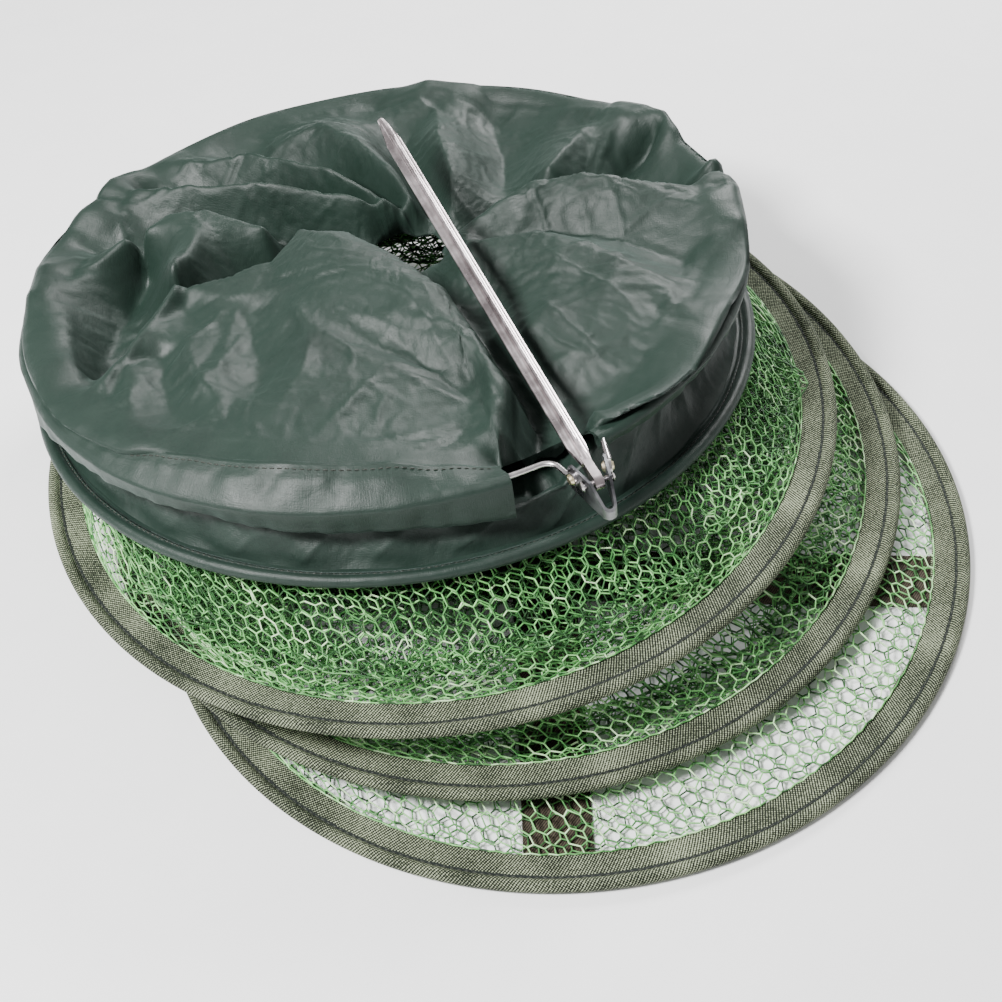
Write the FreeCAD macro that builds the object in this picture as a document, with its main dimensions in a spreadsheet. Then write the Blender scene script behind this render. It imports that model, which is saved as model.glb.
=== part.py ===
import FreeCAD, Part
import math
import os

from FreeCAD import Placement, Rotation, Vector

# A collapsible keep net, folded down and fanned out on the ground. Four sprung wire hoops carry
# hexagonal netting, a fabric skirt closes the top, and an open wire loop at the mouth holds a
# bracket with a pivoting bank stick. Millimetres, +Z up, origin at the centre of the base hoop on
# the surface that the net stands on.

doc = FreeCAD.newDocument("keep_net")

# ---------------------------------------------------------------------------------------------
# Driving dimensions
# ---------------------------------------------------------------------------------------------

SIZES = [
    # hoops: sprung steel wire in a folded webbing sleeve
    ("hoop_radius", 197.0, "centre line of the three net hoops"),
    ("wire_radius", 1.5, "hoop wire"),
    ("ferrule_radius", 2.2, "crimped joint of a hoop wire"),
    ("ferrule_gap", 0.05, "clearance between wire and ferrule"),
    ("ferrule_sweep", 7.0, "length of the ferrule as an angle of the hoop"),
    ("ferrule_azimuth", 118.0, "where the ferrule sits on the hoop"),
    ("sleeve_bore", 2.4, "inside of the webbing round the wire"),
    ("sleeve_bulge", 3.0, "outside of the webbing round the wire"),
    ("hem_radius", 182.0, "inner edge of the sleeve, where the net is sewn"),
    ("hem_thickness", 1.4, "two layers of webbing"),
    # collar: a smaller hoop in fabric piping between net and skirt
    ("collar_radius", 181.0, "centre line of the collar hoop"),
    ("collar_hem_radius", 174.0, "inner edge of the piping"),
    # base: straps under a flat net
    ("strap_width", 31.0, "base straps"),
    ("strap_thickness", 0.9, "base straps"),
    ("strap_reach", 192.0, "the straps end under the sleeve, at this radius"),
    ("base_net_radius", 181.6, "flat net of the base"),
    ("base_net_thickness", 1.0, "flat net of the base"),
    ("base_net_height", 2.0, "underside of the base net"),
    # netting and skirt
    ("net_thickness", 1.2, "netting, measured along a radius"),
    ("net_stand_off", 1.6, "clearance of a net's edge from its hoop"),
    ("lower_net_waist", 166.0, "sagging middle of the lowest net"),
    ("middle_net_waist", 158.0, "sagging middle of the second net"),
    ("upper_net_waist", 150.0, "sagging middle of the third net"),
    ("skirt_thickness", 2.4, "fabric skirt, measured along a radius"),
    ("skirt_foot_radius", 172.0, "where the skirt leaves the collar"),
    ("skirt_waist_radius", 68.0, "the hollow that the skirt falls into"),
    ("skirt_head_radius", 175.0, "where the skirt meets the casing"),
    ("skirt_head_drop", 9.0, "the skirt meets the casing this far below the wire"),
    # mouth: open wire loop in a casing
    ("mouth_radius", 180.0, "centre line of the mouth loop"),
    ("mouth_wire_radius", 1.3, "mouth loop"),
    ("mouth_bend_radius", 7.0, "bend from the loop to each straight end"),
    ("casing_bore", 1.7, "inside of the casing round the wire"),
    ("casing_thickness", 4.4, "casing across its two layers"),
    ("casing_drop", 11.0, "casing below the wire"),
    ("casing_rise", 17.0, "casing above the wire"),
    ("casing_start", -52.5, "azimuth of one end of the casing"),
    ("casing_sweep", 338.5, "the casing stops short of the bracket on both sides"),
    # bracket: folded sheet, a V in plan with a round nose
    ("sheet_thickness", 1.2, "bracket"),
    ("nose_radius", 3.4, "outside of the nose"),
    ("nose_reach", 11.2, "pivot to the centre of the nose"),
    ("wall_angle", 13.0, "how far each wall leans away from the middle"),
    ("wall_reach", 11.5, "pivot to the rear edge of the walls"),
    ("bracket_drop", 9.5, "pivot to the lower edge"),
    ("bracket_rise", 4.6, "pivot to the top of the ears"),
    ("nose_top", -4.8, "top edge at the nose, below the pivot"),
    ("rivet_reach", 7.2, "pivot to each rivet, back towards the mouth"),
    ("rivet_drop", 1.0, "rivets below the pivot"),
    ("rivet_shank_radius", 1.4, "rivets"),
    ("rivet_head_radius", 2.7, "rivets"),
    ("rivet_head_height", 1.1, "rivets"),
    ("eye_radius", 3.5, "flattened eye at each wire end"),
    ("eye_thickness", 1.6, "flattened eye at each wire end"),
    ("fastener_gap", 0.06, "clearance of a rivet or pin in its hole"),
    ("head_clearance", 0.3, "the wire is trimmed this far round a rivet's head"),
    ("ear_rounding", 3.0, "rear corners of the bracket's walls"),
    # bank stick: four-ribbed rod with a flat tang on the pivot
    ("pivot_pin_radius", 1.25, "pivot pin"),
    ("pivot_head_radius", 2.4, "heads of the pivot pin"),
    ("pivot_head_height", 0.9, "heads of the pivot pin"),
    ("pivot_grip", 6.8, "middle of the pin to the inside of each head"),
    ("stick_length", 273.0, "pivot to tip"),
    ("rib_radius", 4.5, "middle of the rod to the edge of a rib"),
    ("rib_half_width", 1.15, "half the thickness of a rib"),
    ("flute_radius", 1.5, "round bottom of the flute between two ribs"),
    ("rod_start", 11.0, "pivot to the start of the ribs"),
    ("root_taper", 12.0, "length over which the ribs grow from the tang"),
    ("tip_taper", 22.0, "length of the pointed tip"),
    ("tip_radius", 1.9, "end of the tip"),
    ("prong_depth", 7.0, "hollow between the rib ends at the tip"),
    ("tang_half_height", 3.6, "flat tang on the pivot"),
    ("tang_thickness", 4.0, "flat tang on the pivot"),
    ("tang_overlap", 4.0, "the tang runs this far into the rod"),
    ("root_radius", 2.6, "rod where it meets the tang"),
    ("root_half_height", 2.4, "tang inside the rod"),
]

sheet = doc.addObject("Spreadsheet::Sheet", "Sizes")
for row, (alias, value, note) in enumerate(SIZES, start=1):
    sheet.set(f"A{row}", alias)
    sheet.set(f"B{row}", str(value))
    sheet.set(f"C{row}", note)
    sheet.setAlias(f"B{row}", alias)
doc.recompute()


def size(alias):
    """The value of one driving dimension."""
    return float(sheet.get(alias))


# Where the hoops lie. Each folded-down hoop has slid back and sideways from the one below, and
# rests on the bunched netting, so it tilts a little: pitch lowers its rear, roll its right side.
STATIONS = {
    "base": {"centre": (0.0, 0.0, 3.0), "pitch": 0.0, "roll": 0.0},
    "lower": {"centre": (-24.0, 42.0, 19.5), "pitch": -1.6, "roll": 1.6},
    "upper": {"centre": (-54.0, 59.0, 41.5), "pitch": 1.2, "roll": -0.8},
    "collar": {"centre": (-71.0, 98.0, 63.0), "pitch": 6.4, "roll": 1.0},
    "mouth": {"centre": (-73.0, 110.0, 97.0), "pitch": 6.5, "roll": -0.8},
    "hollow": {"centre": (-68.0, 138.0, 73.0), "pitch": 5.0, "roll": 0.0},
}
BRACKET_AZIMUTH = -73.3      # the way the nose of the bracket points
BRACKET_PIVOT = (14.0, -72.0, 118.0)
STICK_ELEVATION = 2.6        # the folded stick rises a little towards its tip
STRAPS = {
    "base_strap_lengthwise": {"through": (-10.0, 0.0), "azimuth": 86.0, "layer": 0},
    "base_strap_crosswise": {"through": (0.0, -25.0), "azimuth": -10.8, "layer": 1},
}


def station(name, lift=0.0, turn=0.0):
    """The placement of a hoop's own frame, moved along its axis and turned about it."""
    spec = STATIONS[name]
    pitch = Rotation(Vector(1, 0, 0), -spec["pitch"])
    roll = Rotation(Vector(0, 1, 0), spec["roll"])
    tilted = Placement(Vector(*spec["centre"]), roll.multiply(pitch))
    own = Placement(Vector(0, 0, lift), Rotation(Vector(0, 0, 1), turn))
    return tilted.multiply(own)


# ---------------------------------------------------------------------------------------------
# Small builders
# ---------------------------------------------------------------------------------------------

nodes = []


def bind(item, **cells):
    """Tie properties of a document object to cells of the sheet."""
    for prop, cell in cells.items():
        item.setExpression(prop, cell)
    return item


def primitive(kind, name, place=None, **cells):
    """A Part primitive whose sizes come from the sheet."""
    item = bind(doc.addObject(f"Part::{kind}", name), **cells)
    if place:
        item.Placement = place
    return item


def boolean(kind, name, base, tool):
    """A Part boolean of two objects."""
    item = doc.addObject(f"Part::{kind}", name)
    item.Base = base
    item.Tool = tool
    return item


def node(item, label, place=None):
    """Name a finished sub-part and put it in its place."""
    item.Label = label
    if place:
        item.Placement = place
    nodes.append(item)
    return item


def ring_plate(name, outer, inner, thickness):
    """A flat ring centred on its own mid-plane."""
    disc = primitive("Cylinder", f"{name}_disc", Radius=outer, Height=thickness)
    hole = primitive("Cylinder", f"{name}_hole", Radius=inner, Height=thickness)
    for item in (disc, hole):
        item.setExpression("Placement.Base.z", f"-{thickness} / 2")
    return boolean("Cut", f"{name}_plate", disc, hole)


def sketch_on(body, role, name):
    """A sketch on one of the body's own origin planes."""
    sketch = body.newObject("Sketcher::SketchObject", name)
    plane = next(f for f in body.Origin.OriginFeatures if f.Role == role)
    sketch.AttachmentSupport = [(plane, "")]
    sketch.MapMode = "FlatFace"
    return sketch


def outline(sketch, edges):
    """Add a closed run of lines and arcs, joined end to end."""
    for edge in edges:
        sketch.addGeometry(edge, False)


def line(start, end):
    """A sketch line between two (x, y) points."""
    return Part.LineSegment(Vector(*start, 0), Vector(*end, 0))


def arc(start, middle, end):
    """A sketch arc through three (x, y) points."""
    return Part.Arc(Vector(*start, 0), Vector(*middle, 0), Vector(*end, 0))


def polygon(points):
    """The lines of a closed polygon."""
    return [line(a, b) for a, b in zip(points, points[1:] + points[:1])]


# ---------------------------------------------------------------------------------------------
# Hoops: closed wire ring, crimped ferrule and the fabric round them
# ---------------------------------------------------------------------------------------------

def hoop(name, fabric, radius, hem):
    """One hoop at its station: wire, ferrule and the webbing or piping that encloses them."""
    place = station(name)
    wire = primitive("Torus", f"{name}_wire", Radius1=radius, Radius2="Sizes.wire_radius")
    node(wire, f"{name}_hoop_wire", place)

    body = primitive("Torus", f"{name}_ferrule_body", Radius1=radius, Radius2="Sizes.ferrule_radius",
                     Angle3="Sizes.ferrule_sweep")
    bore = primitive("Torus", f"{name}_ferrule_bore", Radius1=radius,
                     Radius2="Sizes.wire_radius + Sizes.ferrule_gap", Angle3="Sizes.ferrule_sweep")
    ferrule = boolean("Cut", f"{name}_ferrule", body, bore)
    node(ferrule, f"{name}_hoop_ferrule", station(name, turn=size("ferrule_azimuth")))

    bulge = primitive("Torus", f"{name}_bulge", Radius1=radius, Radius2="Sizes.sleeve_bulge")
    plate = ring_plate(f"{name}_hem", radius, hem, "Sizes.hem_thickness")
    cloth = boolean("Fuse", f"{name}_cloth", bulge, plate)
    channel = primitive("Torus", f"{name}_channel", Radius1=radius, Radius2="Sizes.sleeve_bore")
    sleeve = boolean("Cut", f"{name}_sleeve", cloth, channel)
    node(sleeve, fabric, place)


for hoop_name in ("base", "lower", "upper"):
    hoop(hoop_name, f"{hoop_name}_hoop_sleeve", "Sizes.hoop_radius", "Sizes.hem_radius")
hoop("collar", "collar_piping", "Sizes.collar_radius", "Sizes.collar_hem_radius")


# ---------------------------------------------------------------------------------------------
# Base: a flat net over two crossed straps
# ---------------------------------------------------------------------------------------------

def base_strap(label, through, azimuth, layer):
    """A strap across the base, its ends cut to the curve of the hoop."""
    strap = primitive("Box", f"{label}_web", Length="2 * Sizes.hoop_radius", Width="Sizes.strap_width",
                      Height="Sizes.strap_thickness")
    trim = primitive("Cylinder", f"{label}_trim", Radius="Sizes.strap_reach",
                     Height="Sizes.strap_thickness")
    height = layer * size("strap_thickness")
    turn = Rotation(Vector(0, 0, 1), azimuth)
    corner = turn.multVec(Vector(-size("hoop_radius"), -size("strap_width") / 2, 0))
    strap.Placement = Placement(Vector(*through, height) + corner, turn)
    trim.Placement = Placement(Vector(0, 0, height), Rotation())
    node(boolean("Common", label, strap, trim), label)


for strap_label, strap_spec in STRAPS.items():
    base_strap(strap_label, **strap_spec)

base_net = primitive("Cylinder", "base_net_disc", Radius="Sizes.base_net_radius",
                     Height="Sizes.base_net_thickness")
node(base_net, "base_net", Placement(Vector(0, 0, size("base_net_height")), Rotation()))


# ---------------------------------------------------------------------------------------------
# Netting and skirt: thin walls lofted from hoop to hoop
# ---------------------------------------------------------------------------------------------

def between(first, second, share):
    """A placement part of the way from one hoop's frame to another's."""
    a, b = station(first), station(second)
    return Placement(a.Base + (b.Base - a.Base) * share, a.Rotation.slerp(b.Rotation, share))


def loft(name, sections, inset):
    """A ruled solid through circles, each a placement and the expression of its radius."""
    circles = []
    for index, (place, radius) in enumerate(sections):
        circles.append(primitive("Circle", f"{name}_{index}", place, Radius=f"{radius} - {inset}"))
    solid = doc.addObject("Part::Loft", name)
    solid.Sections = circles
    solid.Solid = True
    solid.Ruled = True
    return solid


def soft_wall(label, sections, thickness):
    """A thin wall of cloth or netting: an outer loft less an inner one."""
    outer = loft(f"{label}_outer", sections, "0")
    inner = loft(f"{label}_inner", sections, thickness)
    node(boolean("Cut", label, outer, inner), label)


stand_off = size("net_stand_off")
for lower, upper, net_edge, net_label in (
    ("base", "lower", "Sizes.hem_radius - 1", "lower_net"),
    ("lower", "upper", "Sizes.hem_radius - 1", "middle_net"),
    ("upper", "collar", "Sizes.collar_hem_radius - 1", "upper_net"),
):
    soft_wall(net_label, [
        (station(lower, lift=stand_off), "Sizes.hem_radius - 1"),
        (between(lower, upper, 0.5), f"Sizes.{net_label}_waist"),
        (station(upper, lift=-stand_off), net_edge),
    ], "Sizes.net_thickness")

soft_wall("mouth_skirt", [
    (station("collar", lift=stand_off), "Sizes.skirt_foot_radius"),
    (station("hollow"), "Sizes.skirt_waist_radius"),
    (station("mouth", lift=-size("skirt_head_drop")), "Sizes.skirt_head_radius"),
], "Sizes.skirt_thickness")


# ---------------------------------------------------------------------------------------------
# Mouth: the casing round the loop, the bracket and its fasteners
# ---------------------------------------------------------------------------------------------

def mouth_casing():
    """Hem of the mouth: two layers of fabric that the wire runs through."""
    body = doc.addObject("PartDesign::Body", "casing_body")
    sketch = sketch_on(body, "XZ_Plane", "casing_section")
    half = size("casing_thickness") / 2
    low, high = -size("casing_drop"), size("casing_rise")
    ring = size("mouth_radius")
    outline(sketch, [
        line((ring - half, low + half), (ring - half, high)),
        line((ring - half, high), (ring + half, high)),
        line((ring + half, high), (ring + half, low + half)),
        arc((ring + half, low + half), (ring, low), (ring - half, low + half)),
    ])
    sketch.addGeometry(Part.Circle(Vector(ring, 0, 0), Vector(0, 0, 1), size("casing_bore")), False)
    turned = body.newObject("PartDesign::Revolution", "casing_turned")
    turned.Profile = sketch
    turned.ReferenceAxis = (sketch, ["V_Axis"])
    bind(turned, Angle="Sizes.casing_sweep")
    node(body, "mouth_casing", station("mouth", turn=size("casing_start")))


def wall_point(radius, along):
    """A point of a bracket wall: radius picks its inner or outer face, along its distance back."""
    lean = math.radians(size("wall_angle"))
    foot_x = size("nose_reach") + radius * math.sin(lean)
    foot_y = radius * math.cos(lean)
    return Vector(foot_x - along * math.cos(lean), foot_y + along * math.sin(lean), 0)


def wall_run(reach):
    """How far along a wall the point lies that is this far behind the pivot."""
    lean = math.radians(size("wall_angle"))
    return (size("nose_reach") + size("nose_radius") * math.sin(lean) + reach) / math.cos(lean)


def mirrored(point, side):
    """The same point on the left (1) or right (-1) wall."""
    return Vector(point.x, point.y * side, point.z)


bracket_place = Placement(Vector(*BRACKET_PIVOT), Rotation(Vector(0, 0, 1), BRACKET_AZIMUTH))


def wall_normal(side):
    """The way the outer face of a wall looks."""
    lean = math.radians(size("wall_angle"))
    return Vector(math.sin(lean), side * math.cos(lean), 0)


def rivet_place(side):
    """On a wall's outer face at its rivet, with +Z pointing out of the wall."""
    spot = mirrored(wall_point(size("nose_radius"), wall_run(size("rivet_reach"))), side)
    spot.z = -size("rivet_drop")
    return Placement(spot, Rotation(Vector(0, 0, 1), wall_normal(side)))


def stake_bracket():
    """Folded sheet: two leaning walls joined by a round nose, with holes for pin and rivets."""
    body = doc.addObject("PartDesign::Body", "bracket_body")
    plan = sketch_on(body, "XY_Plane", "bracket_plan")
    outer = size("nose_radius")
    inner = outer - size("sheet_thickness")
    run = wall_run(size("wall_reach"))
    reach = size("nose_reach")
    faces = {(radius, side, along): mirrored(wall_point(radius, along), side)
             for radius in (outer, inner) for side in (1, -1) for along in (0.0, run)}
    edges = []
    for radius in (outer, inner):
        for side in (1, -1):
            edges.append(Part.LineSegment(faces[radius, side, 0.0], faces[radius, side, run]))
        edges.append(Part.Arc(faces[radius, 1, 0.0], Vector(reach + radius, 0, 0),
                              faces[radius, -1, 0.0]))
    for side in (1, -1):
        edges.append(Part.LineSegment(faces[outer, side, run], faces[inner, side, run]))
    outline(plan, edges)
    walls = body.newObject("PartDesign::Pad", "bracket_walls")
    walls.Profile = plan
    bind(walls, Length="Sizes.bracket_drop + Sizes.bracket_rise")
    plan.AttachmentOffset = Placement(Vector(0, 0, -size("bracket_drop")), Rotation())

    side_view = sketch_on(body, "XZ_Plane", "bracket_top_edge")
    top = size("bracket_rise")
    tip = reach + outer
    ear = size("pivot_head_radius") + 1
    outline(side_view, polygon([(ear, top), (tip, size("nose_top")), (tip + 2, size("nose_top")),
                                (tip + 2, top + 2), (ear, top + 2)]))
    slope = body.newObject("PartDesign::Pocket", "bracket_slope")
    slope.Profile = side_view
    slope.Type = "ThroughAll"
    slope.Midplane = True
    doc.recompute()

    corners = [name for name, edge in named_edges(body.Shape) if is_rear_corner(edge)]
    rounded = body.newObject("PartDesign::Fillet", "bracket_ears")
    rounded.Base = (slope, corners)
    rounded.Radius = size("ear_rounding")

    across = Rotation(Vector(1, 0, 0), -90)
    pin_hole = primitive("Cylinder", "bracket_pin_hole", Height="4 * Sizes.pivot_grip",
                         Radius="Sizes.pivot_pin_radius + Sizes.fastener_gap")
    pin_hole.Placement = Placement(Vector(0, -2 * size("pivot_grip"), 0), across)
    drilled = boolean("Cut", "bracket_drilled", body, pin_hole)
    for side in (1, -1):
        hole = primitive("Cylinder", "bracket_rivet_hole", Height="4 * Sizes.sheet_thickness",
                         Radius="Sizes.rivet_shank_radius + Sizes.fastener_gap")
        hole.Placement = shifted(rivet_place(side), -2 * size("sheet_thickness"))
        drilled = boolean("Cut", "bracket_drilled", drilled, hole)
    node(drilled, "stake_bracket", bracket_place)


def named_edges(shape):
    """The edges of a shape with the names that features use for them."""
    return [(f"Edge{index}", edge) for index, edge in enumerate(shape.Edges, start=1)]


def is_rear_corner(edge):
    """True for the short edges across the sheet at the rear end of each wall."""
    box = edge.BoundBox
    rear = box.XMax < -size("wall_reach") + size("sheet_thickness")
    return rear and box.ZLength < 0.01 and edge.Length < 2 * size("sheet_thickness")


def shifted(place, depth):
    """A placement moved along its own +Z."""
    return place.multiply(Placement(Vector(0, 0, depth), Rotation()))


def fastener(name, shank, head, head_height, low, high):
    """A shank between two round heads, along +Z, with its grip from low to high."""
    stem = primitive("Cylinder", f"{name}_shank", Radius=shank)
    stem.Height = high - low
    stem.Placement.Base.z = low
    solid = stem
    for place_z, turn in ((high, 0), (low, 180)):
        cap = primitive("Cone", f"{name}_head", Radius1=head, Radius2=f"{head} * 0.62",
                        Height=head_height)
        cap.Placement = Placement(Vector(0, 0, place_z), Rotation(Vector(1, 0, 0), turn))
        solid = boolean("Fuse", f"{name}_solid", solid, cap)
    return solid


def wire_rivets():
    """The two rivets that hold the wire's eyes to the bracket's walls."""
    gap = size("fastener_gap")
    group = doc.addObject("Part::Compound", "rivet_group")
    rivets = []
    for side in (1, -1):
        rivet = fastener("wire_rivet", "Sizes.rivet_shank_radius", "Sizes.rivet_head_radius",
                         "Sizes.rivet_head_height", -size("sheet_thickness") - gap,
                         size("eye_thickness") + 2 * gap)
        rivet.Placement = rivet_place(side)
        rivets.append(rivet)
    group.Links = rivets
    node(group, "wire_rivets", bracket_place)


def pivot_pin():
    """The pin that the bank stick turns on, across both walls."""
    grip = size("pivot_grip")
    pin = fastener("pivot_pin", "Sizes.pivot_pin_radius", "Sizes.pivot_head_radius",
                   "Sizes.pivot_head_height", -grip, grip)
    across = Placement(Vector(), Rotation(Vector(1, 0, 0), -90))
    node(pin, "stake_pivot_pin", bracket_place.multiply(across))


def straight_end(side):
    """One end of the loop, in the mouth's frame: eye centre, bend and where it joins the ring."""
    to_mouth = station("mouth").inverse().multiply(bracket_place)
    eye = rivet_place(side)
    offset = size("fastener_gap") + size("mouth_wire_radius")
    start = to_mouth.multVec(eye.Base + wall_normal(side) * offset)
    lean = math.radians(size("wall_angle"))
    heading = to_mouth.Rotation.multVec(Vector(-math.cos(lean), side * math.sin(lean), 0))
    start.z = 0
    heading.z = 0
    heading.normalize()
    aside = Vector(-heading.y, heading.x, 0) * -side
    bend = size("mouth_bend_radius")
    ring = size("mouth_radius")
    base = start + aside * bend
    half = base.dot(heading)
    run = -half - math.sqrt(half ** 2 - base.dot(base) + (ring + bend) ** 2)
    centre = base + heading * run
    leave = centre - aside * bend
    join = centre * (ring / (ring + bend))
    middle = (leave + join) * 0.5 - centre
    middle = centre + middle.normalize() * bend
    return start, leave, middle, join


def mouth_wire():
    """The open loop: most of a circle, two bends, two straight ends with flattened eyes."""
    right_start, right_leave, right_middle, right_join = straight_end(1)
    left_start, left_leave, left_middle, left_join = straight_end(-1)
    far_side = -(right_join + left_join)
    far_side = far_side.normalize() * size("mouth_radius")
    path = Part.Wire([
        Part.LineSegment(right_start, right_leave).toShape(),
        Part.Arc(right_leave, right_middle, right_join).toShape(),
        Part.Arc(right_join, far_side, left_join).toShape(),
        Part.Arc(left_join, left_middle, left_leave).toShape(),
        Part.LineSegment(left_leave, left_start).toShape(),
    ])
    section = Part.Wire(Part.makeCircle(size("mouth_wire_radius"), right_start,
                                        right_leave - right_start))
    loop = path.makePipeShell([section], True, False)
    loop.Placement = station("mouth")
    shape = loop
    eye_places = [bracket_place.multiply(shifted(rivet_place(side), size("fastener_gap")))
                  for side in (1, -1)]
    for place in eye_places:
        eye = Part.makeCylinder(size("eye_radius"), size("eye_thickness"))
        eye.Placement = place
        shape = shape.fuse(eye)
    deep, wide = 3 * size("eye_thickness"), 4 * size("eye_radius")
    for place in eye_places:
        hole = Part.makeCylinder(size("rivet_shank_radius") + size("fastener_gap"), 2 * deep)
        hole.Placement = shifted(place, -deep)
        head_room = Part.makeCylinder(size("rivet_head_radius") + size("head_clearance"), deep)
        head_room.Placement = shifted(place, size("eye_thickness"))
        wall_room = Part.makeBox(wide, wide, deep, Vector(-wide / 2, -wide / 2, -deep))
        wall_room.Placement = place
        shape = shape.cut(hole).cut(head_room).cut(wall_room)
    item = doc.addObject("Part::Feature", "mouth_wire_loop")
    item.Shape = shape.removeSplitter()
    node(item, "mouth_wire")


# ---------------------------------------------------------------------------------------------
# Bank stick: a four-ribbed rod turned to a point, with a flat tang
# ---------------------------------------------------------------------------------------------

def quarter_turn(point, count):
    """A sketch point turned about the rod by quarter turns."""
    x, y = point
    for _ in range(count):
        x, y = -y, x
    return x, y


def ribbed_outline():
    """Section of the rod: four round-edged ribs with round-bottomed flutes between them."""
    half, flute, rim = size("rib_half_width"), size("flute_radius"), size("rib_radius")
    side = half + flute
    bottom = side - flute * math.sqrt(0.5)
    edges = []
    for count in range(4):
        low, rib_tip, high, foot, valley, rise = (quarter_turn(p, count) for p in (
            (rim - half, -half), (rim, 0), (rim - half, half), (side, half), (bottom, bottom),
            (half, side)))
        following = quarter_turn((rim - half, -half), count + 1)
        edges += [arc(low, rib_tip, high), line(high, foot), arc(foot, valley, rise),
                  line(rise, following)]
    return edges


def turned_away(body, name, points):
    """Turn material off the rod: the area between the given (x, radius) points is removed."""
    sketch = sketch_on(body, "XZ_Plane", f"{name}_profile")
    outline(sketch, polygon(points))
    groove = body.newObject("PartDesign::Groove", name)
    groove.Profile = sketch
    groove.ReferenceAxis = (sketch, ["H_Axis"])
    groove.Angle = 360
    doc.recompute()


def bank_stick():
    """The rod lies along +X from the pivot, with the pivot across it along Y."""
    body = doc.addObject("PartDesign::Body", "stick_body")
    section = sketch_on(body, "YZ_Plane", "stick_section")
    outline(section, ribbed_outline())
    section.AttachmentOffset = Placement(Vector(0, 0, size("rod_start")), Rotation())
    rod = body.newObject("PartDesign::Pad", "stick_rod")
    rod.Profile = section
    bind(rod, Length="Sizes.stick_length - Sizes.rod_start")
    doc.recompute()

    tip, beyond = size("stick_length"), size("stick_length") + 1
    start, outside = size("rod_start"), size("rib_radius") + 1
    taper, root = tip - size("tip_taper"), start + size("root_taper")
    turned_away(body, "stick_tip", [(taper, size("rib_radius")), (tip, size("tip_radius")),
                                    (beyond, size("tip_radius")), (beyond, outside),
                                    (taper, outside)])
    turned_away(body, "stick_root", [(start - 1, size("root_radius")), (start, size("root_radius")),
                                     (root, size("rib_radius")), (root, outside),
                                     (start - 1, outside)])
    turned_away(body, "stick_prongs", [(tip - size("prong_depth"), 0), (beyond, 0),
                                       (beyond, size("tip_radius") - 0.5)])

    tang_sketch = sketch_on(body, "XZ_Plane", "tang_outline")
    tall = size("tang_half_height")
    end, short = start + size("tang_overlap"), size("root_half_height")
    outline(tang_sketch, [line((0, -tall), (end, -short)), line((end, -short), (end, short)),
                          line((end, short), (0, tall)), arc((0, tall), (-tall, 0), (0, -tall))])
    tang = body.newObject("PartDesign::Pad", "stick_tang")
    tang.Profile = tang_sketch
    tang.Midplane = True
    bind(tang, Length="Sizes.tang_thickness")
    eye_sketch = sketch_on(body, "XZ_Plane", "tang_eye")
    eye_radius = size("pivot_pin_radius") + size("fastener_gap")
    eye_sketch.addGeometry(Part.Circle(Vector(), Vector(0, 0, 1), eye_radius), False)
    eye = body.newObject("PartDesign::Pocket", "stick_eye")
    eye.Profile = eye_sketch
    eye.Type = "ThroughAll"
    eye.Midplane = True
    rise = Rotation(Vector(0, 1, 0), -STICK_ELEVATION)
    turn = Rotation(Vector(0, 0, 1), BRACKET_AZIMUTH + 180)
    node(body, "bank_stick", Placement(Vector(*BRACKET_PIVOT), turn.multiply(rise)))


mouth_casing()
stake_bracket()
wire_rivets()
pivot_pin()
mouth_wire()
bank_stick()

# ---------------------------------------------------------------------------------------------
# Checks and export
# ---------------------------------------------------------------------------------------------

doc.recompute()
for item in doc.Objects:
    if "Invalid" in item.State or "Error" in item.State:
        raise RuntimeError(f"{item.Name} did not compute: {item.State}")
for item in nodes:
    if item.Shape.isNull() or not item.Shape.isValid():
        raise RuntimeError(f"{item.Label} has no valid shape")
    if not item.Shape.Solids:
        raise RuntimeError(f"{item.Label} is not solid")

os.makedirs("parts", exist_ok=True)
for item in nodes:
    item.Shape.exportStep(f"parts/{item.Label}.step")
    print(f"{item.Label:24s} {item.Shape.Volume / 1000:9.3f} cm3  solids {len(item.Shape.Solids)}")
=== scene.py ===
import math

import bpy
import numpy as np
from mathutils import Matrix, Vector


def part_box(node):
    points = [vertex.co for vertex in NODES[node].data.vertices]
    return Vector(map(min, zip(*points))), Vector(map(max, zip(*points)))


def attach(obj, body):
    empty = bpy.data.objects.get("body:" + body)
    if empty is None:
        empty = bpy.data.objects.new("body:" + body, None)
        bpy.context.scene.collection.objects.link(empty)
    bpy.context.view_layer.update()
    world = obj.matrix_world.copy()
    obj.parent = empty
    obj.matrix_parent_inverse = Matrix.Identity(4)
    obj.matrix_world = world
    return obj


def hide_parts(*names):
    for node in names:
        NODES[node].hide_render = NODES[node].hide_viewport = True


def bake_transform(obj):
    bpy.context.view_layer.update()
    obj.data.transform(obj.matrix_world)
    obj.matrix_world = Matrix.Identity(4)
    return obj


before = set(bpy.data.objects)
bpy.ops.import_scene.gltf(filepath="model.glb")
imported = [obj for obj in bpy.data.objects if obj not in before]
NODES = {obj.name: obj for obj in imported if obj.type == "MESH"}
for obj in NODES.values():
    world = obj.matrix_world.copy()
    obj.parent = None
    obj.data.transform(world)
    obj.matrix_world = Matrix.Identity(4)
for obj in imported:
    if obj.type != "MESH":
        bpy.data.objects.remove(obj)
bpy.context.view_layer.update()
MM = 0.001


# ---- Camera, floor and light ----

CAMERA_ELEVATION = 47.86      # degrees above the floor, looking along +Y
CAMERA_ROLL = -7.39
CAMERA_DISTANCE = 0.8758
CAMERA_TARGET = Vector((-0.0277, 0.0309, 0.0))
CAMERA_LENS = 60.89
SKY_STRENGTH = 0.46
FLOOR_REACH = 6.0


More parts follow.
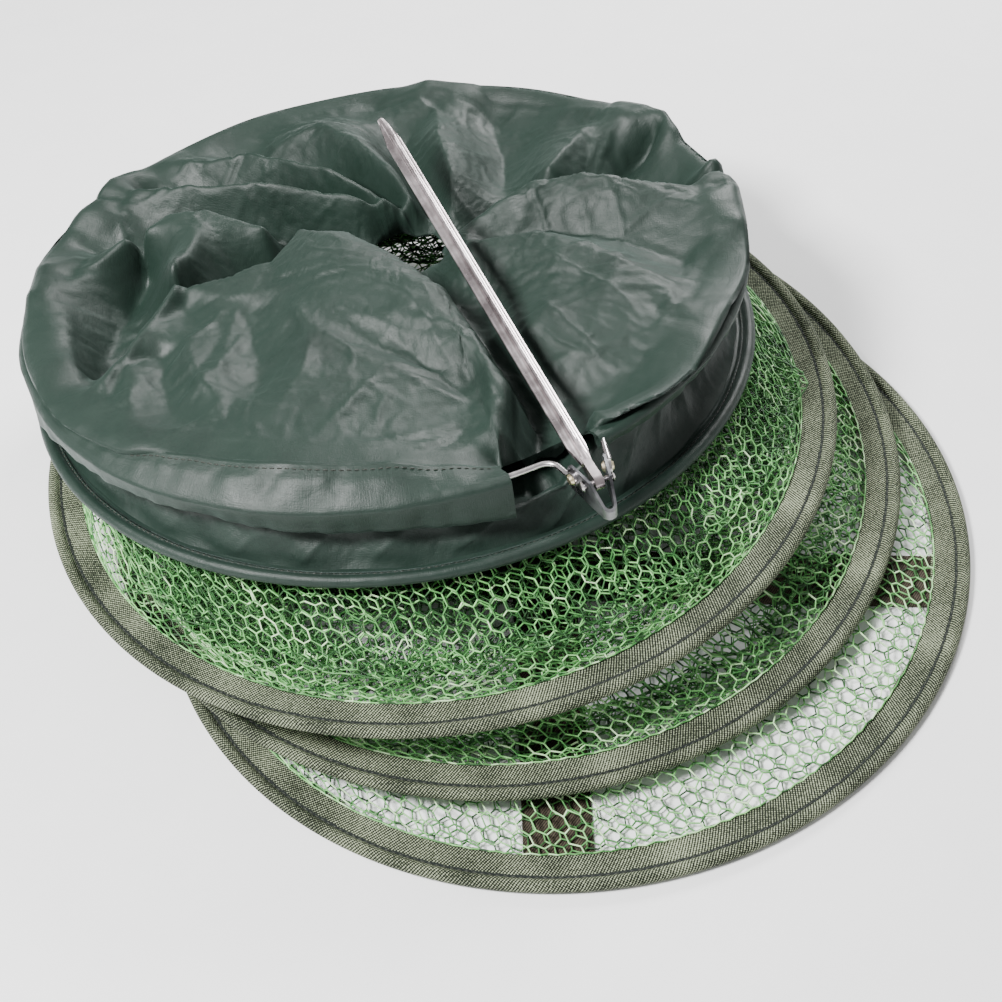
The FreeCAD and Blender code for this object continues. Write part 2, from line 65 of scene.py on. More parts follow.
def add_camera():
    """The camera at the photographed view."""
    rise = math.radians(CAMERA_ELEVATION)
    roll = math.radians(CAMERA_ROLL)
    forward = Vector((0, math.cos(rise), -math.sin(rise)))
    level = Vector((1, 0, 0))
    upright = level.cross(forward)
    right = level * math.cos(roll) + upright * math.sin(roll)
    up = upright * math.cos(roll) - level * math.sin(roll)
    turn = Matrix((right, up, -forward)).transposed().to_4x4()
    camera = bpy.data.objects.new("camera", bpy.data.cameras.new("camera"))
    camera.data.lens = CAMERA_LENS
    camera.matrix_world = Matrix.Translation(CAMERA_TARGET - forward * CAMERA_DISTANCE) @ turn
    bpy.context.scene.collection.objects.link(camera)
    bpy.context.scene.camera = camera


def add_light(name, place, size, power):
    """A soft square area light that looks where the camera looks."""
    lamp = bpy.data.objects.new(name, bpy.data.lights.new(name, "AREA"))
    lamp.data.shape = "SQUARE"
    lamp.data.size = size
    lamp.data.energy = power
    aim = (CAMERA_TARGET - Vector(place)).to_track_quat("-Z", "Y")
    lamp.matrix_world = Matrix.Translation(place) @ aim.to_matrix().to_4x4()
    bpy.context.scene.collection.objects.link(lamp)


def add_studio():
    """A pale floor, a pale sky and two soft lights."""
    world = bpy.data.worlds.new("studio")
    world.use_nodes = True
    sky = world.node_tree.nodes["Background"]
    sky.inputs["Color"].default_value = (1.0, 1.0, 1.0, 1.0)
    sky.inputs["Strength"].default_value = SKY_STRENGTH
    bpy.context.scene.world = world
    mesh = bpy.data.meshes.new("floor")
    corners = [(x * FLOOR_REACH, y * FLOOR_REACH, 0) for x, y in ((-1, -1), (1, -1), (1, 1), (-1, 1))]
    mesh.from_pydata(corners, [], [(0, 1, 2, 3)])
    floor = bpy.data.objects.new("floor", mesh)
    bpy.context.scene.collection.objects.link(floor)
    floor.location.z = -0.2 * MM
    look = Material("floor", (0.94, 0.94, 0.94), 0.7)
    look.colour(look.noise(30.0, 2), (0.93, 0.93, 0.935), (0.955, 0.955, 0.955))
    mesh.materials.append(look.item)
    add_light("key_light", (-0.75, -0.35, 1.2), 0.34, 50.0)
    add_light("back_light", (0.55, 1.1, 0.9), 0.45, 25.0)


# ---- Materials ----

class Material:
    """A small builder of procedural principled materials."""

    def __init__(self, name, colour, roughness, metallic=0.0, specular=0.5):
        self.item = bpy.data.materials.new(name)
        self.item.use_nodes = True
        self.tree = self.item.node_tree
        self.shader = self.tree.nodes["Principled BSDF"]
        self.set("Base Color", (*colour, 1))
        self.set("Roughness", roughness)
        self.set("Metallic", metallic)
        self.set("Specular IOR Level", specular)
        self.place = self.tree.nodes.new("ShaderNodeTexCoord").outputs["Object"]

    def set(self, name, value):
        self.shader.inputs[name].default_value = value

    def link(self, source, target):
        self.tree.links.new(source, target)

    def add(self, kind, source, socket, values):
        """A node with a source linked to one socket and values set on others."""
        node = self.tree.nodes.new("ShaderNode" + kind)
        for name, value in values.items():
            node.inputs[name].default_value = value
        self.link(source, node.inputs[socket])
        return node

    def on_uv(self, name):
        """Place textures by a UV map in metres instead of the object's own coordinates."""
        pin = self.tree.nodes.new("ShaderNodeUVMap")
        pin.uv_map = name
        self.place = pin.outputs["UV"]

    def stretched(self, scale, turn=0.0):
        """Coordinates scaled per axis, then turned in their plane by degrees."""
        values = {"Scale": scale, "Rotation": (0.0, 0.0, math.radians(turn))}
        return self.add("Mapping", self.place, "Vector", values).outputs["Vector"]

    def noise(self, scale, detail=3, place=None, roughness=0.55):
        values = {"Scale": scale, "Detail": detail, "Roughness": roughness}
        return self.add("TexNoise", place or self.place, "Vector", values).outputs["Fac"]

    def ribs(self, scale, turn):
        """Fine straight ribs, turned in their plane by degrees."""
        place = self.stretched((scale, scale, scale), turn)
        return self.add("TexWave", place, "Vector", {"Scale": 1.0}).outputs["Fac"]

    def math(self, kind, a, b=0):
        node = self.tree.nodes.new("ShaderNodeMath")
        node.operation = kind
        for socket, value in zip(node.inputs, (a, b)):
            if isinstance(value, (int, float)):
                socket.default_value = value
            else:
                self.link(value, socket)
        return node.outputs[0]

    def mix(self, *parts):
        """The sum of values, each given with its share."""
        total = 0.0
        for value, share in parts:
            total = self.math("ADD", total, self.math("MULTIPLY", value, share))
        return total

    def distance(self, value, middle):
        return self.math("ABSOLUTE", self.math("SUBTRACT", value, middle))

    def ramp(self, value, *stops):
        """Colours by value: each stop is (position, colour)."""
        node = self.tree.nodes.new("ShaderNodeValToRGB")
        band = node.color_ramp.elements
        while len(band) < len(stops):
            band.new(0.5)
        for element, (position, colour) in zip(band, stops):
            element.position = position
            element.color = (*colour, 1)
        self.link(value, node.inputs["Fac"])
        return node.outputs["Color"]

    def spread(self, value, low, high, start=0.3, end=0.7):
        """A value's range from start to end, stretched to low to high."""
        values = {"From Min": start, "From Max": end, "To Min": low, "To Max": high}
        return self.add("MapRange", value, "Value", values).outputs["Result"]

    def colour(self, value, low, high, start=0.3, end=0.7):
        self.link(self.ramp(value, (start, low), (end, high)), self.shader.inputs["Base Color"])

    def rough(self, value, low, high):
        self.link(self.spread(value, low, high), self.shader.inputs["Roughness"])

    def bump(self, value, depth, strength):
        node = self.add("Bump", value, "Height", {"Distance": depth, "Strength": strength})
        normal = self.shader.inputs["Normal"]
        if normal.is_linked:
            self.link(normal.links[0].from_socket, node.inputs["Normal"])
        self.link(node.outputs["Normal"], normal)

    def tinted_across(self, colour, bands, tint):
        """Base colour that turns to a tint where the UV map's second axis is in one of the bands."""
        split = self.tree.nodes.new("ShaderNodeSeparateXYZ")
        self.link(self.place, split.inputs[0])
        ragged = self.math("MULTIPLY", self.math("SUBTRACT", self.noise(420.0), 0.5), 1.6 * MM)
        across = self.math("ADD", split.outputs["Y"], ragged)
        for middle, half in bands:
            mixed = self.tree.nodes.new("ShaderNodeMix")
            mixed.data_type = "RGBA"
            inside = self.spread(self.distance(across, middle), 1.0, 0.0, half * 0.7, half * 1.3)
            self.link(inside, mixed.inputs["Factor"])
            self.link(colour, mixed.inputs[6])
            mixed.inputs[7].default_value = (*tint, 1)
            colour = mixed.outputs[2]
        self.link(colour, self.shader.inputs["Base Color"])


# Painted shade: dark bands along the stitched grooves beside the wire's bulge
WEB_GROOVE_SHADE = ((17.3 * MM, 0.8 * MM), (41.4 * MM, 0.8 * MM))   # on the sleeve's UV map: place, half width
NYLON_DEEP = (0.0022, 0.0078, 0.0050)
NYLON_WORN = (0.0085, 0.0215, 0.015)


def webbing():
    """Olive-brown twill webbing: fine diagonal ribs with pale and dark flecks, and painted shade in dark
    bands along its stitched grooves.
    """
    look = Material("webbing", (0.11, 0.105, 0.07), 0.85, specular=0.25)
    look.on_uv("weave")
    wear = look.math("SUBTRACT", look.noise(28.0), 0.5)
    twill = look.mix((look.ribs(260.0, 32), 0.28), (look.ribs(330.0, -58), 0.16),
                     (look.noise(900.0, roughness=0.7), 0.62), (wear, 0.35))
    cloth = look.ramp(twill, (0.43, (0.003, 0.006, 0.003)), (0.515, (0.022, 0.029, 0.015)),
                      (0.595, (0.062, 0.075, 0.043)), (0.69, (0.35, 0.39, 0.265)))
    # the grooves turn a dark tint: painted shade
    look.tinted_across(cloth, WEB_GROOVE_SHADE, (0.012, 0.016, 0.014))
    look.bump(twill, 0.5 * MM, 0.8)
    return look.item


def strap_weave():
    """Dark brown woven strap with slanted ribs."""
    look = Material("strap", (0.02, 0.015, 0.01), 0.8, specular=0.3)
    weave = look.mix((look.ribs(300.0, 40), 0.4), (look.noise(700.0, roughness=0.7), 0.6))
    look.colour(weave, (0.008, 0.006, 0.004), (0.075, 0.058, 0.038), 0.3, 0.75)
    look.bump(weave, 0.4 * MM, 0.8)
    return look.item


def thread(name, dark, light):
    """Netting twine or sewing thread, lighter where it is worn."""
    look = Material(name, light, 0.55, specular=0.45)
    look.colour(look.noise(140.0, 2), dark, light, 0.35, 0.65)
    look.rough(look.noise(900.0, 1), 0.4, 0.7)
    return look.item


def nylon():
    """Dark green coated nylon: fine plain weave, satin sheen, faint creases."""
    look = Material("nylon", NYLON_DEEP, 0.55, specular=0.4)
    space = look.place
    look.on_uv("weave")
    slubs = look.mix((look.noise(1.0, 3, look.stretched((2200.0, 260.0, 1.0))), 1.0),
                     (look.noise(1.0, 3, look.stretched((260.0, 2200.0, 1.0))), 1.0))
    look.place = space
    weave = look.mix((slubs, 0.35), (look.noise(1500.0, 2), 0.3))
    crease = look.noise(55.0, 5, roughness=0.6)
    folded = look.distance(look.noise(34.0, 2, roughness=0.45), 0.5)
    sharp = look.distance(look.noise(90.0, 2, roughness=0.5), 0.5)
    look.colour(look.mix((look.noise(24.0, 4), 0.45), (weave, 0.85)), NYLON_DEEP, NYLON_WORN, 0.36, 0.66)
    look.rough(crease, 0.44, 0.6)
    look.bump(crease, 0.8 * MM, 0.3)
    look.bump(folded, 4 * MM, 0.4)
    look.bump(sharp, 1 * MM, 0.4)
    look.bump(weave, 0.6 * MM, 0.5)
    look.set("Sheen Weight", 0.08)
    look.set("Sheen Roughness", 0.4)
    look.set("Sheen Tint", (0.55, 0.75, 0.68, 1))
    return look.item


def steel(name, dark, light, roughness):
    """Metal with drawing marks and smudges."""
    look = Material(name, light, roughness, metallic=1.0)
    marks = look.noise(1.0, 4, look.stretched((60.0, 60.0, 60.0)), 0.65)
    smudge = look.noise(90.0, 4)
    look.colour(look.mix((marks, 0.5), (smudge, 0.5)), dark, light, 0.36, 0.62)
    look.rough(smudge, roughness * 0.7, roughness * 1.35)
    look.bump(marks, 0.2 * MM, 0.35)
    return look.item


# ---- Geometry helpers ----

def positions(mesh):
    """A mesh's vertices, one to a row."""
    points = np.empty(len(mesh.vertices) * 3)
    mesh.vertices.foreach_get("co", points)
    return points.reshape(-1, 3)


def unit(vectors):
    return vectors / np.linalg.norm(vectors, axis=1, keepdims=True)


def running(steps):
    """Distances along a row from the lengths of its steps."""
    return np.concatenate([[0], np.cumsum(steps)])


class Hoop:
    """The frame of a hoop, read from its wire: centre, radius and axes."""

    def __init__(self, node):
        points = positions(NODES[node].data)
        keep = np.ones(len(points), bool)
        for _ in range(3):
            middle = points[keep].mean(axis=0)
            self.up = np.linalg.svd(points[keep] - middle, full_matrices=False)[2][2]
            self.up *= np.sign(self.up[2])
            self.right = np.cross((0, 1, 0), self.up)
            self.right /= np.linalg.norm(self.right)
            self.back = np.cross(self.up, self.right)
            x, y = (points - middle) @ self.right, (points - middle) @ self.back
            rows = np.column_stack([x, y, np.ones(len(x))])
            fit = np.linalg.lstsq(rows[keep], (x ** 2 + y ** 2)[keep], rcond=None)[0]
            cx, cy = fit[0] / 2, fit[1] / 2
            self.radius = math.sqrt(fit[2] + cx ** 2 + cy ** 2)
            self.centre = middle + self.right * cx + self.back * cy
            off = abs(np.hypot(x - cx, y - cy) - self.radius)
            keep = off < 3 * MM
        self.centre = self.centre + self.up * float(((points[keep] - self.centre) @ self.up).mean())

    def at(self, angle, radius, height=0.0):
        """Points at an angle round the hoop, a radius and a height along its axis."""
        angle, radius, height = (np.asarray(v, float)[..., None] for v in (angle, radius, height))
        return (self.centre + radius * (np.cos(angle) * self.right + np.sin(angle) * self.back)
                + height * self.up)

    def plane_z(self, x, y):
        """Height of the hoop's plane over a point of the floor."""
        dx, dy = x - self.centre[0], y - self.centre[1]
        return self.centre[2] - (dx * self.up[0] + dy * self.up[1]) / self.up[2]


hoops = {name: Hoop(f"{name}_hoop_wire") for name in ("base", "lower", "upper", "collar")}
hoops["mouth"] = Hoop("mouth_wire")
BODY_OF = {"base": "base", "lower": "lower_hoop", "upper": "upper_hoop", "collar": "collar"}


def mesh_object(name, points, faces, look):
    """A smooth-shaded mesh object from arrays of points and faces."""
    mesh = bpy.data.meshes.new(name)
    mesh.from_pydata(np.asarray(points).tolist(), [], np.asarray(faces).tolist())
    mesh.polygons.foreach_set("use_smooth", [True] * len(mesh.polygons))
    mesh.materials.append(look)
    item = bpy.data.objects.new(name, mesh)
    bpy.context.scene.collection.objects.link(item)
    return item


def grid_faces(rows, columns, wrap_rows=True, wrap_columns=True):
    """Quads of a grid of points, closed round in either direction."""
    i = np.arange(rows if wrap_rows else rows - 1)
    j = np.arange(columns if wrap_columns else columns - 1)
    a, b = np.meshgrid(i, j, indexing="ij")
    a, b = a.ravel(), b.ravel()
    c, d = (a + 1) % rows, (b + 1) % columns
    return np.column_stack([a * columns + b, c * columns + b, c * columns + d, a * columns + d])


def grid_uv(item, along, across):
    """A UV map in metres on quads from grid_faces, by its position along and across the grid."""
    i, j = np.meshgrid(np.arange(len(along) - 1), np.arange(len(across) - 1), indexing="ij")
    i, j = i.ravel(), j.ravel()
    corners = [(i, j), (i + 1, j), (i + 1, j + 1), (i, j + 1)]
    uv = np.stack([np.column_stack([along[a], across[b]]) for a, b in corners], axis=1)
    item.data.uv_layers.new(name="weave").data.foreach_set("uv", uv.ravel())


def declare(item, node=None, body=None):
    """Hide the CAD node that a piece stands in for, and attach the piece to the body that it rides on."""
    if node:
        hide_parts(node)
    if body:
        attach(item, body)


def ripple(angle, waves, seed):
    """A smooth random closed curve round the hoop: a sum of a few waves, about -1 to 1."""
    draw = np.random.default_rng(seed)
    total = np.zeros_like(np.asarray(angle, float))
    for count in waves:
        total = total + draw.uniform(0.5, 1.0) * np.sin(count * angle + draw.uniform(0, 2 * np.pi))
    return total / math.sqrt(len(waves))


def set_blend(item):
    """Bake a piece's placement into its mesh."""
    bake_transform(item)


def smoothstep(value):
    value = np.clip(value, 0, 1)
    return value * value * (3 - 2 * value)


# ---- Hoop sleeves: webbing folded round the wire, closed by a row of stitches ----

SLEEVE_STEPS = 720
SLEEVE_BULGE = 3.0 * MM       # radius round the wire
SLEEVE_HALF = 0.75 * MM       # half of the hem's thickness
STITCH_INSET = 3.6 * MM       # from the wire in to the stitches
STITCH_HEIGHT = 0.55 * MM
STITCH_RADIUS = 0.42 * MM
STITCH_GRID = 5               # points along a stitch, and round its thread


def sleeve_profile(hem_width):
    """Section of a sleeve as (outwards, up) points: the bulge, the stitched groove and the hem."""
    half = SLEEVE_HALF
    groove = SLEEVE_BULGE * 1.08
    turns = np.radians(np.linspace(-150, 150, 15))
    bulge = [(SLEEVE_BULGE * math.cos(turn), SLEEVE_BULGE * math.sin(turn)) for turn in turns]
    upper = [(-groove, half * 0.55), (-groove * 1.35, half * 1.05), (-hem_width * 0.5, half),
             (-hem_width * 0.78, half * 0.95), (-hem_width + half, half),
             (-hem_width + half * 0.2, half * 0.7), (-hem_width, 0.0)]
    lower = [(x, -y) for x, y in reversed(upper[:-1])]
    return np.array(bulge + upper + lower)


def build_sleeve(name, node, hoop_name, look, hem_width, seed):
    """One sleeve, slightly puckered, in place of its smooth CAD ring."""
    hoop = hoops[hoop_name]
    profile = sleeve_profile(hem_width)
    angle = np.linspace(0, 2 * np.pi, SLEEVE_STEPS, endpoint=False)
    out, up = profile[:, 0][None], profile[:, 1][None]
    inward = np.clip(-out / hem_width, 0, 1)
    sway = ripple(angle, (2, 3, 5), seed)[:, None] * 0.35 * MM
    flutter = ripple(angle, (7, 11, 17, 23), seed + 1)[:, None] * 0.55 * MM
    pucker = ripple(angle, (61, 83, 127), seed + 2)[:, None] * 0.16 * MM
    edge = ripple(angle, (19, 31, 47), seed + 3)[:, None] * 0.5 * MM
    radius = hoop.radius + out + sway * 0.4 + edge * inward ** 3
    height = up + flutter * inward ** 2 + pucker * np.exp(-((inward - 0.25) / 0.12) ** 2)
    points = hoop.at(np.broadcast_to(angle[:, None], radius.shape), radius, height)
    item = mesh_object(name, points.reshape(-1, 3), grid_faces(SLEEVE_STEPS, len(profile)), look)
    across = np.linalg.norm(np.diff(np.vstack([profile, profile[:1]]), axis=0), axis=1)
    grid_uv(item, np.linspace(0, 2 * np.pi * hoop.radius, SLEEVE_STEPS + 1), running(across))
    declare(item, node, BODY_OF[hoop_name])


def build_stitches(name, hoop_name, look, pitch, seed):
    """A row of small thread stitches on both faces of a sleeve."""
    hoop = hoops[hoop_name]
    count = int(2 * math.pi * (hoop.radius - STITCH_INSET) / pitch)
    # arrays by side of the sleeve, stitch, step along the stitch and place round the thread
    side = np.array((1, -1))[:, None, None, None]
    start = (np.arange(count) * 2 * np.pi / count)[None, :, None, None]
    step = np.linspace(-1, 1, STITCH_GRID)[:, None]
    turn = np.arange(STITCH_GRID) * 2 * np.pi / STITCH_GRID
    skew = np.random.default_rng(seed).normal(0, 0.12, (2, count, 1, 1)) * MM
    thick = STITCH_RADIUS * np.sqrt(np.maximum(0.05, 1 - step ** 2 * 0.9))
    radius = hoop.radius - STITCH_INSET + skew * step + thick * np.cos(turn)
    rise = side * (STITCH_HEIGHT * (1 - 0.35 * step ** 2)) + thick * np.sin(turn)
    angle = start + 0.36 * 2 * np.pi / count * step
    points = hoop.at(*np.broadcast_arrays(angle, radius, rise)).reshape(-1, 3)
    stitch = grid_faces(STITCH_GRID, STITCH_GRID, wrap_rows=False)[:, ::-1]
    firsts = np.arange(2 * count)[:, None, None] * STITCH_GRID ** 2
    item = mesh_object(name, points, (firsts + np.roll(stitch, 1, axis=1)).reshape(-1, 4), look)
    declare(item, body=BODY_OF[hoop_name])


# ---- Netting: honeycombs of round threads ----

THREAD_RADIUS = 0.42 * MM
THREAD_SIDES = 4
CELL = 7.6 * MM               # width of a netting cell
NET_EDGE = 14.2 * MM          # from a hoop's wire in to where the netting leaves the sleeve's hem
PIPING_EDGE = 6.5 * MM        # the same at the collar's narrower piping
# Thread greens, dark to pale. The side nets give the darker ones to lower, deeper layers as painted shade
# and the paler ones to the outer layer and higher threads as painted light.
GREENS = (("net_dark", (0.008, 0.035, 0.008), (0.03, 0.12, 0.028)),
          ("net_mid", (0.035, 0.16, 0.035), (0.13, 0.36, 0.105)),
          ("net_light", (0.10, 0.35, 0.08), (0.30, 0.64, 0.24)),
          ("net_pale", (0.28, 0.55, 0.22), (0.64, 0.88, 0.52)))
# Side nets: piece, node, hoops below and above, rows, tone, and the folds between the hoops as (share
# of the net's length, radius in mm, share of the way across to the upper hoop, share of the rise)
SIDE_NETS = (
    ("lower_netting", "lower_net", "base", "lower", 20, 0.3,
     ((0.36, 172, 0.85, 0.75), (0.6, 140, 0.6, 0.3), (0.82, 166, 0.9, 0.55))),
    ("middle_netting", "middle_net", "lower", "upper", 34, 0.3,
     ((0.2, 172, 0.9, 0.85), (0.38, 140, 0.5, 0.45), (0.6, 174, 0.04, 0.15), (0.8, 138, 0.6, 0.4))),
    ("upper_netting", "upper_net", "upper", "collar", 46, 0.2,
     ((0.24, 171, 0.93, 0.86), (0.36, 140, 0.6, 0.55), (0.54, 175, 0.03, 0.3), (0.72, 136, 0.3, 0.2),
      (0.86, 172, 0.12, 0.14))),
)


def tubes(starts, ends, radius, sides=THREAD_SIDES):
    """Points and faces of straight threads between pairs of points."""
    run = ends - starts
    length = np.linalg.norm(run, axis=1, keepdims=True)
    run = run / np.maximum(length, 1e-9)
    helper = np.where(abs(run[:, 2:3]) > 0.9, (1.0, 0.0, 0.0), (0.0, 0.0, 1.0))
    first = unit(np.cross(run, helper))
    second = np.cross(run, first)
    grow = run * radius * 0.5
    rings = []
    for place in (starts - grow, ends + grow):
        for k in range(sides):
            turn = 2 * np.pi * (k + 0.5) / sides
            rings.append(place + radius * (math.cos(turn) * first + math.sin(turn) * second))
    points = np.stack(rings, axis=1)
    base = np.arange(len(starts))[:, None] * 2 * sides
    k = np.arange(sides)
    faces = np.stack([k, (k + 1) % sides, (k + 1) % sides + sides, k + sides], axis=1)
    return points.reshape(-1, 3), (base[:, :, None] + faces[None]).reshape(-1, 4)


def honeycomb(columns, rows):
    """Junctions (u, v) round a tube, each 0 to 1, and the pairs of them that threads join."""
    i, j = np.meshgrid(np.arange(2 * columns), np.arange(rows + 1), indexing="ij")
    zigzag = np.where((i + j) % 2 == 0, 1 / 6, -1 / 6)
    u = i / (2 * columns)
    v = np.clip((j + zigzag) / rows, 0, 1)
    number = i * (rows + 1) + j
    around = np.column_stack([number.ravel(), number[(i + 1) % (2 * columns), j].ravel()])
    rising = ((i + j) % 2 == 0) & (j < rows)
    along = np.column_stack([number[rising], number[rising] + 1])
    return u.ravel(), v.ravel(), np.vstack([around, along])


def knotted(name, points, pairs, lightness, draw):
    """A net of threads between pairs of points, dark to pale by a lightness of 0 to 1 for each."""
    mesh_points, faces = tubes(points[pairs[:, 0]], points[pairs[:, 1]], THREAD_RADIUS)
    item = mesh_object(name, mesh_points, faces, greens[0])
    for look in greens[1:]:
        item.data.materials.append(look)
    tone = lightness * len(greens) + draw.normal(0, 0.8, len(lightness))
    tone = np.clip(tone, 0, len(greens) - 1).astype(int)
    item.data.polygons.foreach_set("material_index", np.repeat(tone, THREAD_SIDES))
    return item


def smooth_noise(u, v, waves, seed):
    """A smooth random field over a net, closed round it in u, about -1 to 1."""
    draw = np.random.default_rng(seed)
    total = np.zeros_like(u)
    for around, along in waves:
        total += np.sin(2 * np.pi * (around * u + along * v * draw.uniform(0.8, 1.2)) + draw.uniform(0, 7))
    return total / math.sqrt(len(waves))


def track(stops, t):
    """Smooth values through (t, value) stops."""
    places = np.array([s[0] for s in stops], float)
    values = np.array([s[1] for s in stops], float)
    index = np.clip(np.searchsorted(places, t, side="right") - 1, 0, len(places) - 2)
    local = (t - places[index]) / (places[index + 1] - places[index])
    local = local * 0.35 + smoothstep(local) * 0.65
    return values[index] * (1 - local) + values[index + 1] * local


def build_side_net(name, node, below, above, rows, tone, folds, seed):
    """A net section: from the hem of one hoop, in and out in folds, to the hem of the next."""
    lower, upper = hoops[below], hoops[above]
    columns = round(2 * math.pi * (lower.radius - 15 * MM) / CELL)
    u, v, pairs = honeycomb(columns, rows)
    draw = np.random.default_rng(seed)
    angle = 2 * np.pi * u
    top = upper.radius - (PIPING_EDGE if above == "collar" else NET_EDGE)
    keys = [(0, (lower.radius - NET_EDGE) / MM, 0, 0), *folds, (1, top / MM, 1, 1)]
    free = np.sin(np.pi * v) ** 0.6
    radius, share, rise = (track([(key[0], key[k]) for key in keys], v) for k in (1, 2, 3))
    radius = radius * MM
    loose = free * (0.3 + 0.7 * smoothstep(v / folds[0][0] - 0.5))
    radius += loose * (ripple(angle, (2, 3, 5, 8), seed) * 7 * MM
                       + smooth_noise(u, v, ((14, 1), (23, 2), (31, -2)), seed + 1) * 2.6 * MM)
    angle = angle + free * smooth_noise(u, v, ((5, 1), (9, -2), (17, 2)), seed + 2) * 0.012
    low, high = lower.at(angle, radius, 1.2 * MM), upper.at(angle, radius, -1.2 * MM)
    middle = lower.centre * (1 - share[:, None]) + upper.centre * share[:, None]
    points = middle + (low - lower.centre) * (1 - share[:, None]) + (high - upper.centre) * share[:, None]
    floor_z = lower.plane_z(points[:, 0], points[:, 1]) + 1.3 * MM
    roof_z = upper.plane_z(points[:, 0], points[:, 1]) - 1.3 * MM
    points[:, 2] = floor_z + (roof_z - floor_z) * rise
    wave = smooth_noise(u, v, ((11, 2), (19, 3), (37, -3)), seed + 3)
    points[:, 2] += free * wave * np.minimum(1.6 * MM, 0.2 * (roof_z - floor_z))
    points += draw.normal(0, 0.42 * MM, points.shape) * free[:, None]
    # Painted light and shade in the thread tones: the outer layer and higher threads paler, the lower,
    # deeper layers darker; the patches are a random tone.
    patches = smooth_noise(u, v, ((6, 2), (13, -3), (21, 4)), seed + 4)
    painted_light_outer_layer = 0.28 * (1 - smoothstep((v / folds[0][0] - 0.9) / 0.4))
    lightness = tone + painted_light_outer_layer + 0.12 * rise + 0.12 * patches
    item = knotted(name, points, pairs, lightness[pairs].mean(axis=1), draw)
    declare(item, node)
    set_blend(item)


def build_base_net():
    """The flat honeycomb of the base, over the straps."""
    side = CELL / math.sqrt(3)
    reach = hoops["base"].radius - 13.4 * MM
    count = int(reach / CELL) + 2
    rows = int(reach / (1.5 * side)) + 2
    i, j = np.meshgrid(np.arange(-2 * count, 2 * count + 1), np.arange(-rows, rows + 1), indexing="ij")
    x = i * CELL / 2
    y = (j * 1.5 + np.where((i + j) % 2 == 0, 0.25, -0.25)) * side
    number = np.arange(x.size).reshape(x.shape)
    around = np.column_stack([number[:-1].ravel(), number[1:].ravel()])
    rising = ((i + j) % 2 == 0)[:, :-1]
    along = np.column_stack([number[:, :-1][rising], number[:, 1:][rising]])
    pairs = np.vstack([around, along])
    x, y = x.ravel(), y.ravel()
    bend = 2.2 * MM
    wx = x + bend * np.sin(y * 31 + 1.3) + bend * np.sin(x * 23 + y * 17)
    wy = y + bend * np.sin(x * 27 + 0.4) + bend * np.cos(y * 21 - x * 13)
    draw = np.random.default_rng(5)
    points = np.column_stack([wx, wy, np.full(x.size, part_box("base_net")[0][2] + 0.5 * MM)])
    points += draw.normal(0, 0.3 * MM, points.shape) * (1, 1, 0.4)
    inside = np.hypot(points[:, 0], points[:, 1]) < reach
    pairs = pairs[inside[pairs].all(axis=1)]
    item = knotted("base_netting", points, pairs, np.full(len(pairs), 0.3), draw)
    declare(item, "base_net", "base")


# ---- Mouth hem: two layers of nylon that the mouth wire runs through ----

# By azimuth round the mouth: how far the hem hangs below the wire, and the radius and height of the
# seam that joins it to the skirt, in millimetres
HEM = ((-60, -4, 175, 2), (-50, -5, 175, 1.5), (-38, -5, 175, 1.5), (-28, -5, 177, 2), (0, -7, 178, 3),
       (90, -9, 178, 2), (145, -8, 178, 3), (185, -12, 178, 3), (210, -11, 178, 4), (226, -9, 175, 7),
       (234, -8, 168, 11), (240, -7, 165, 12), (255, -11, 165, 15), (270, -13, 165, 12),
       (278, -17, 166, 5), (286, -21.5, 167, -3))
HEM_START, HEM_END = HEM[0][0], HEM[-1][0]
HEM_STEPS = 620
HEM_FRONT, HEM_BACK = 21, 15  # points down the visible layer and up the hidden one
STITCHED_FROM = 228           # azimuth where the seam comes out from under the cloth


def hem_value(azimuth, column):
    """One column of the hem's table at azimuths in degrees, from the hem's start to its end."""
    return track([(row[0], row[column]) for row in HEM], azimuth)


def between_keys(keys, count):
    """Rows of points along straight runs between keys, each key (share, one value per row)."""
    shares = [share for share, _ in keys]
    columns = []
    for value in np.linspace(0, 1, count):
        index = min(max(int(np.searchsorted(shares, value, side="right")) - 1, 0), len(keys) - 2)
        (start, a), (end, b) = keys[index], keys[index + 1]
        columns.append(a + (b - a) * (value - start) / (end - start))
    return np.stack(columns, axis=1)


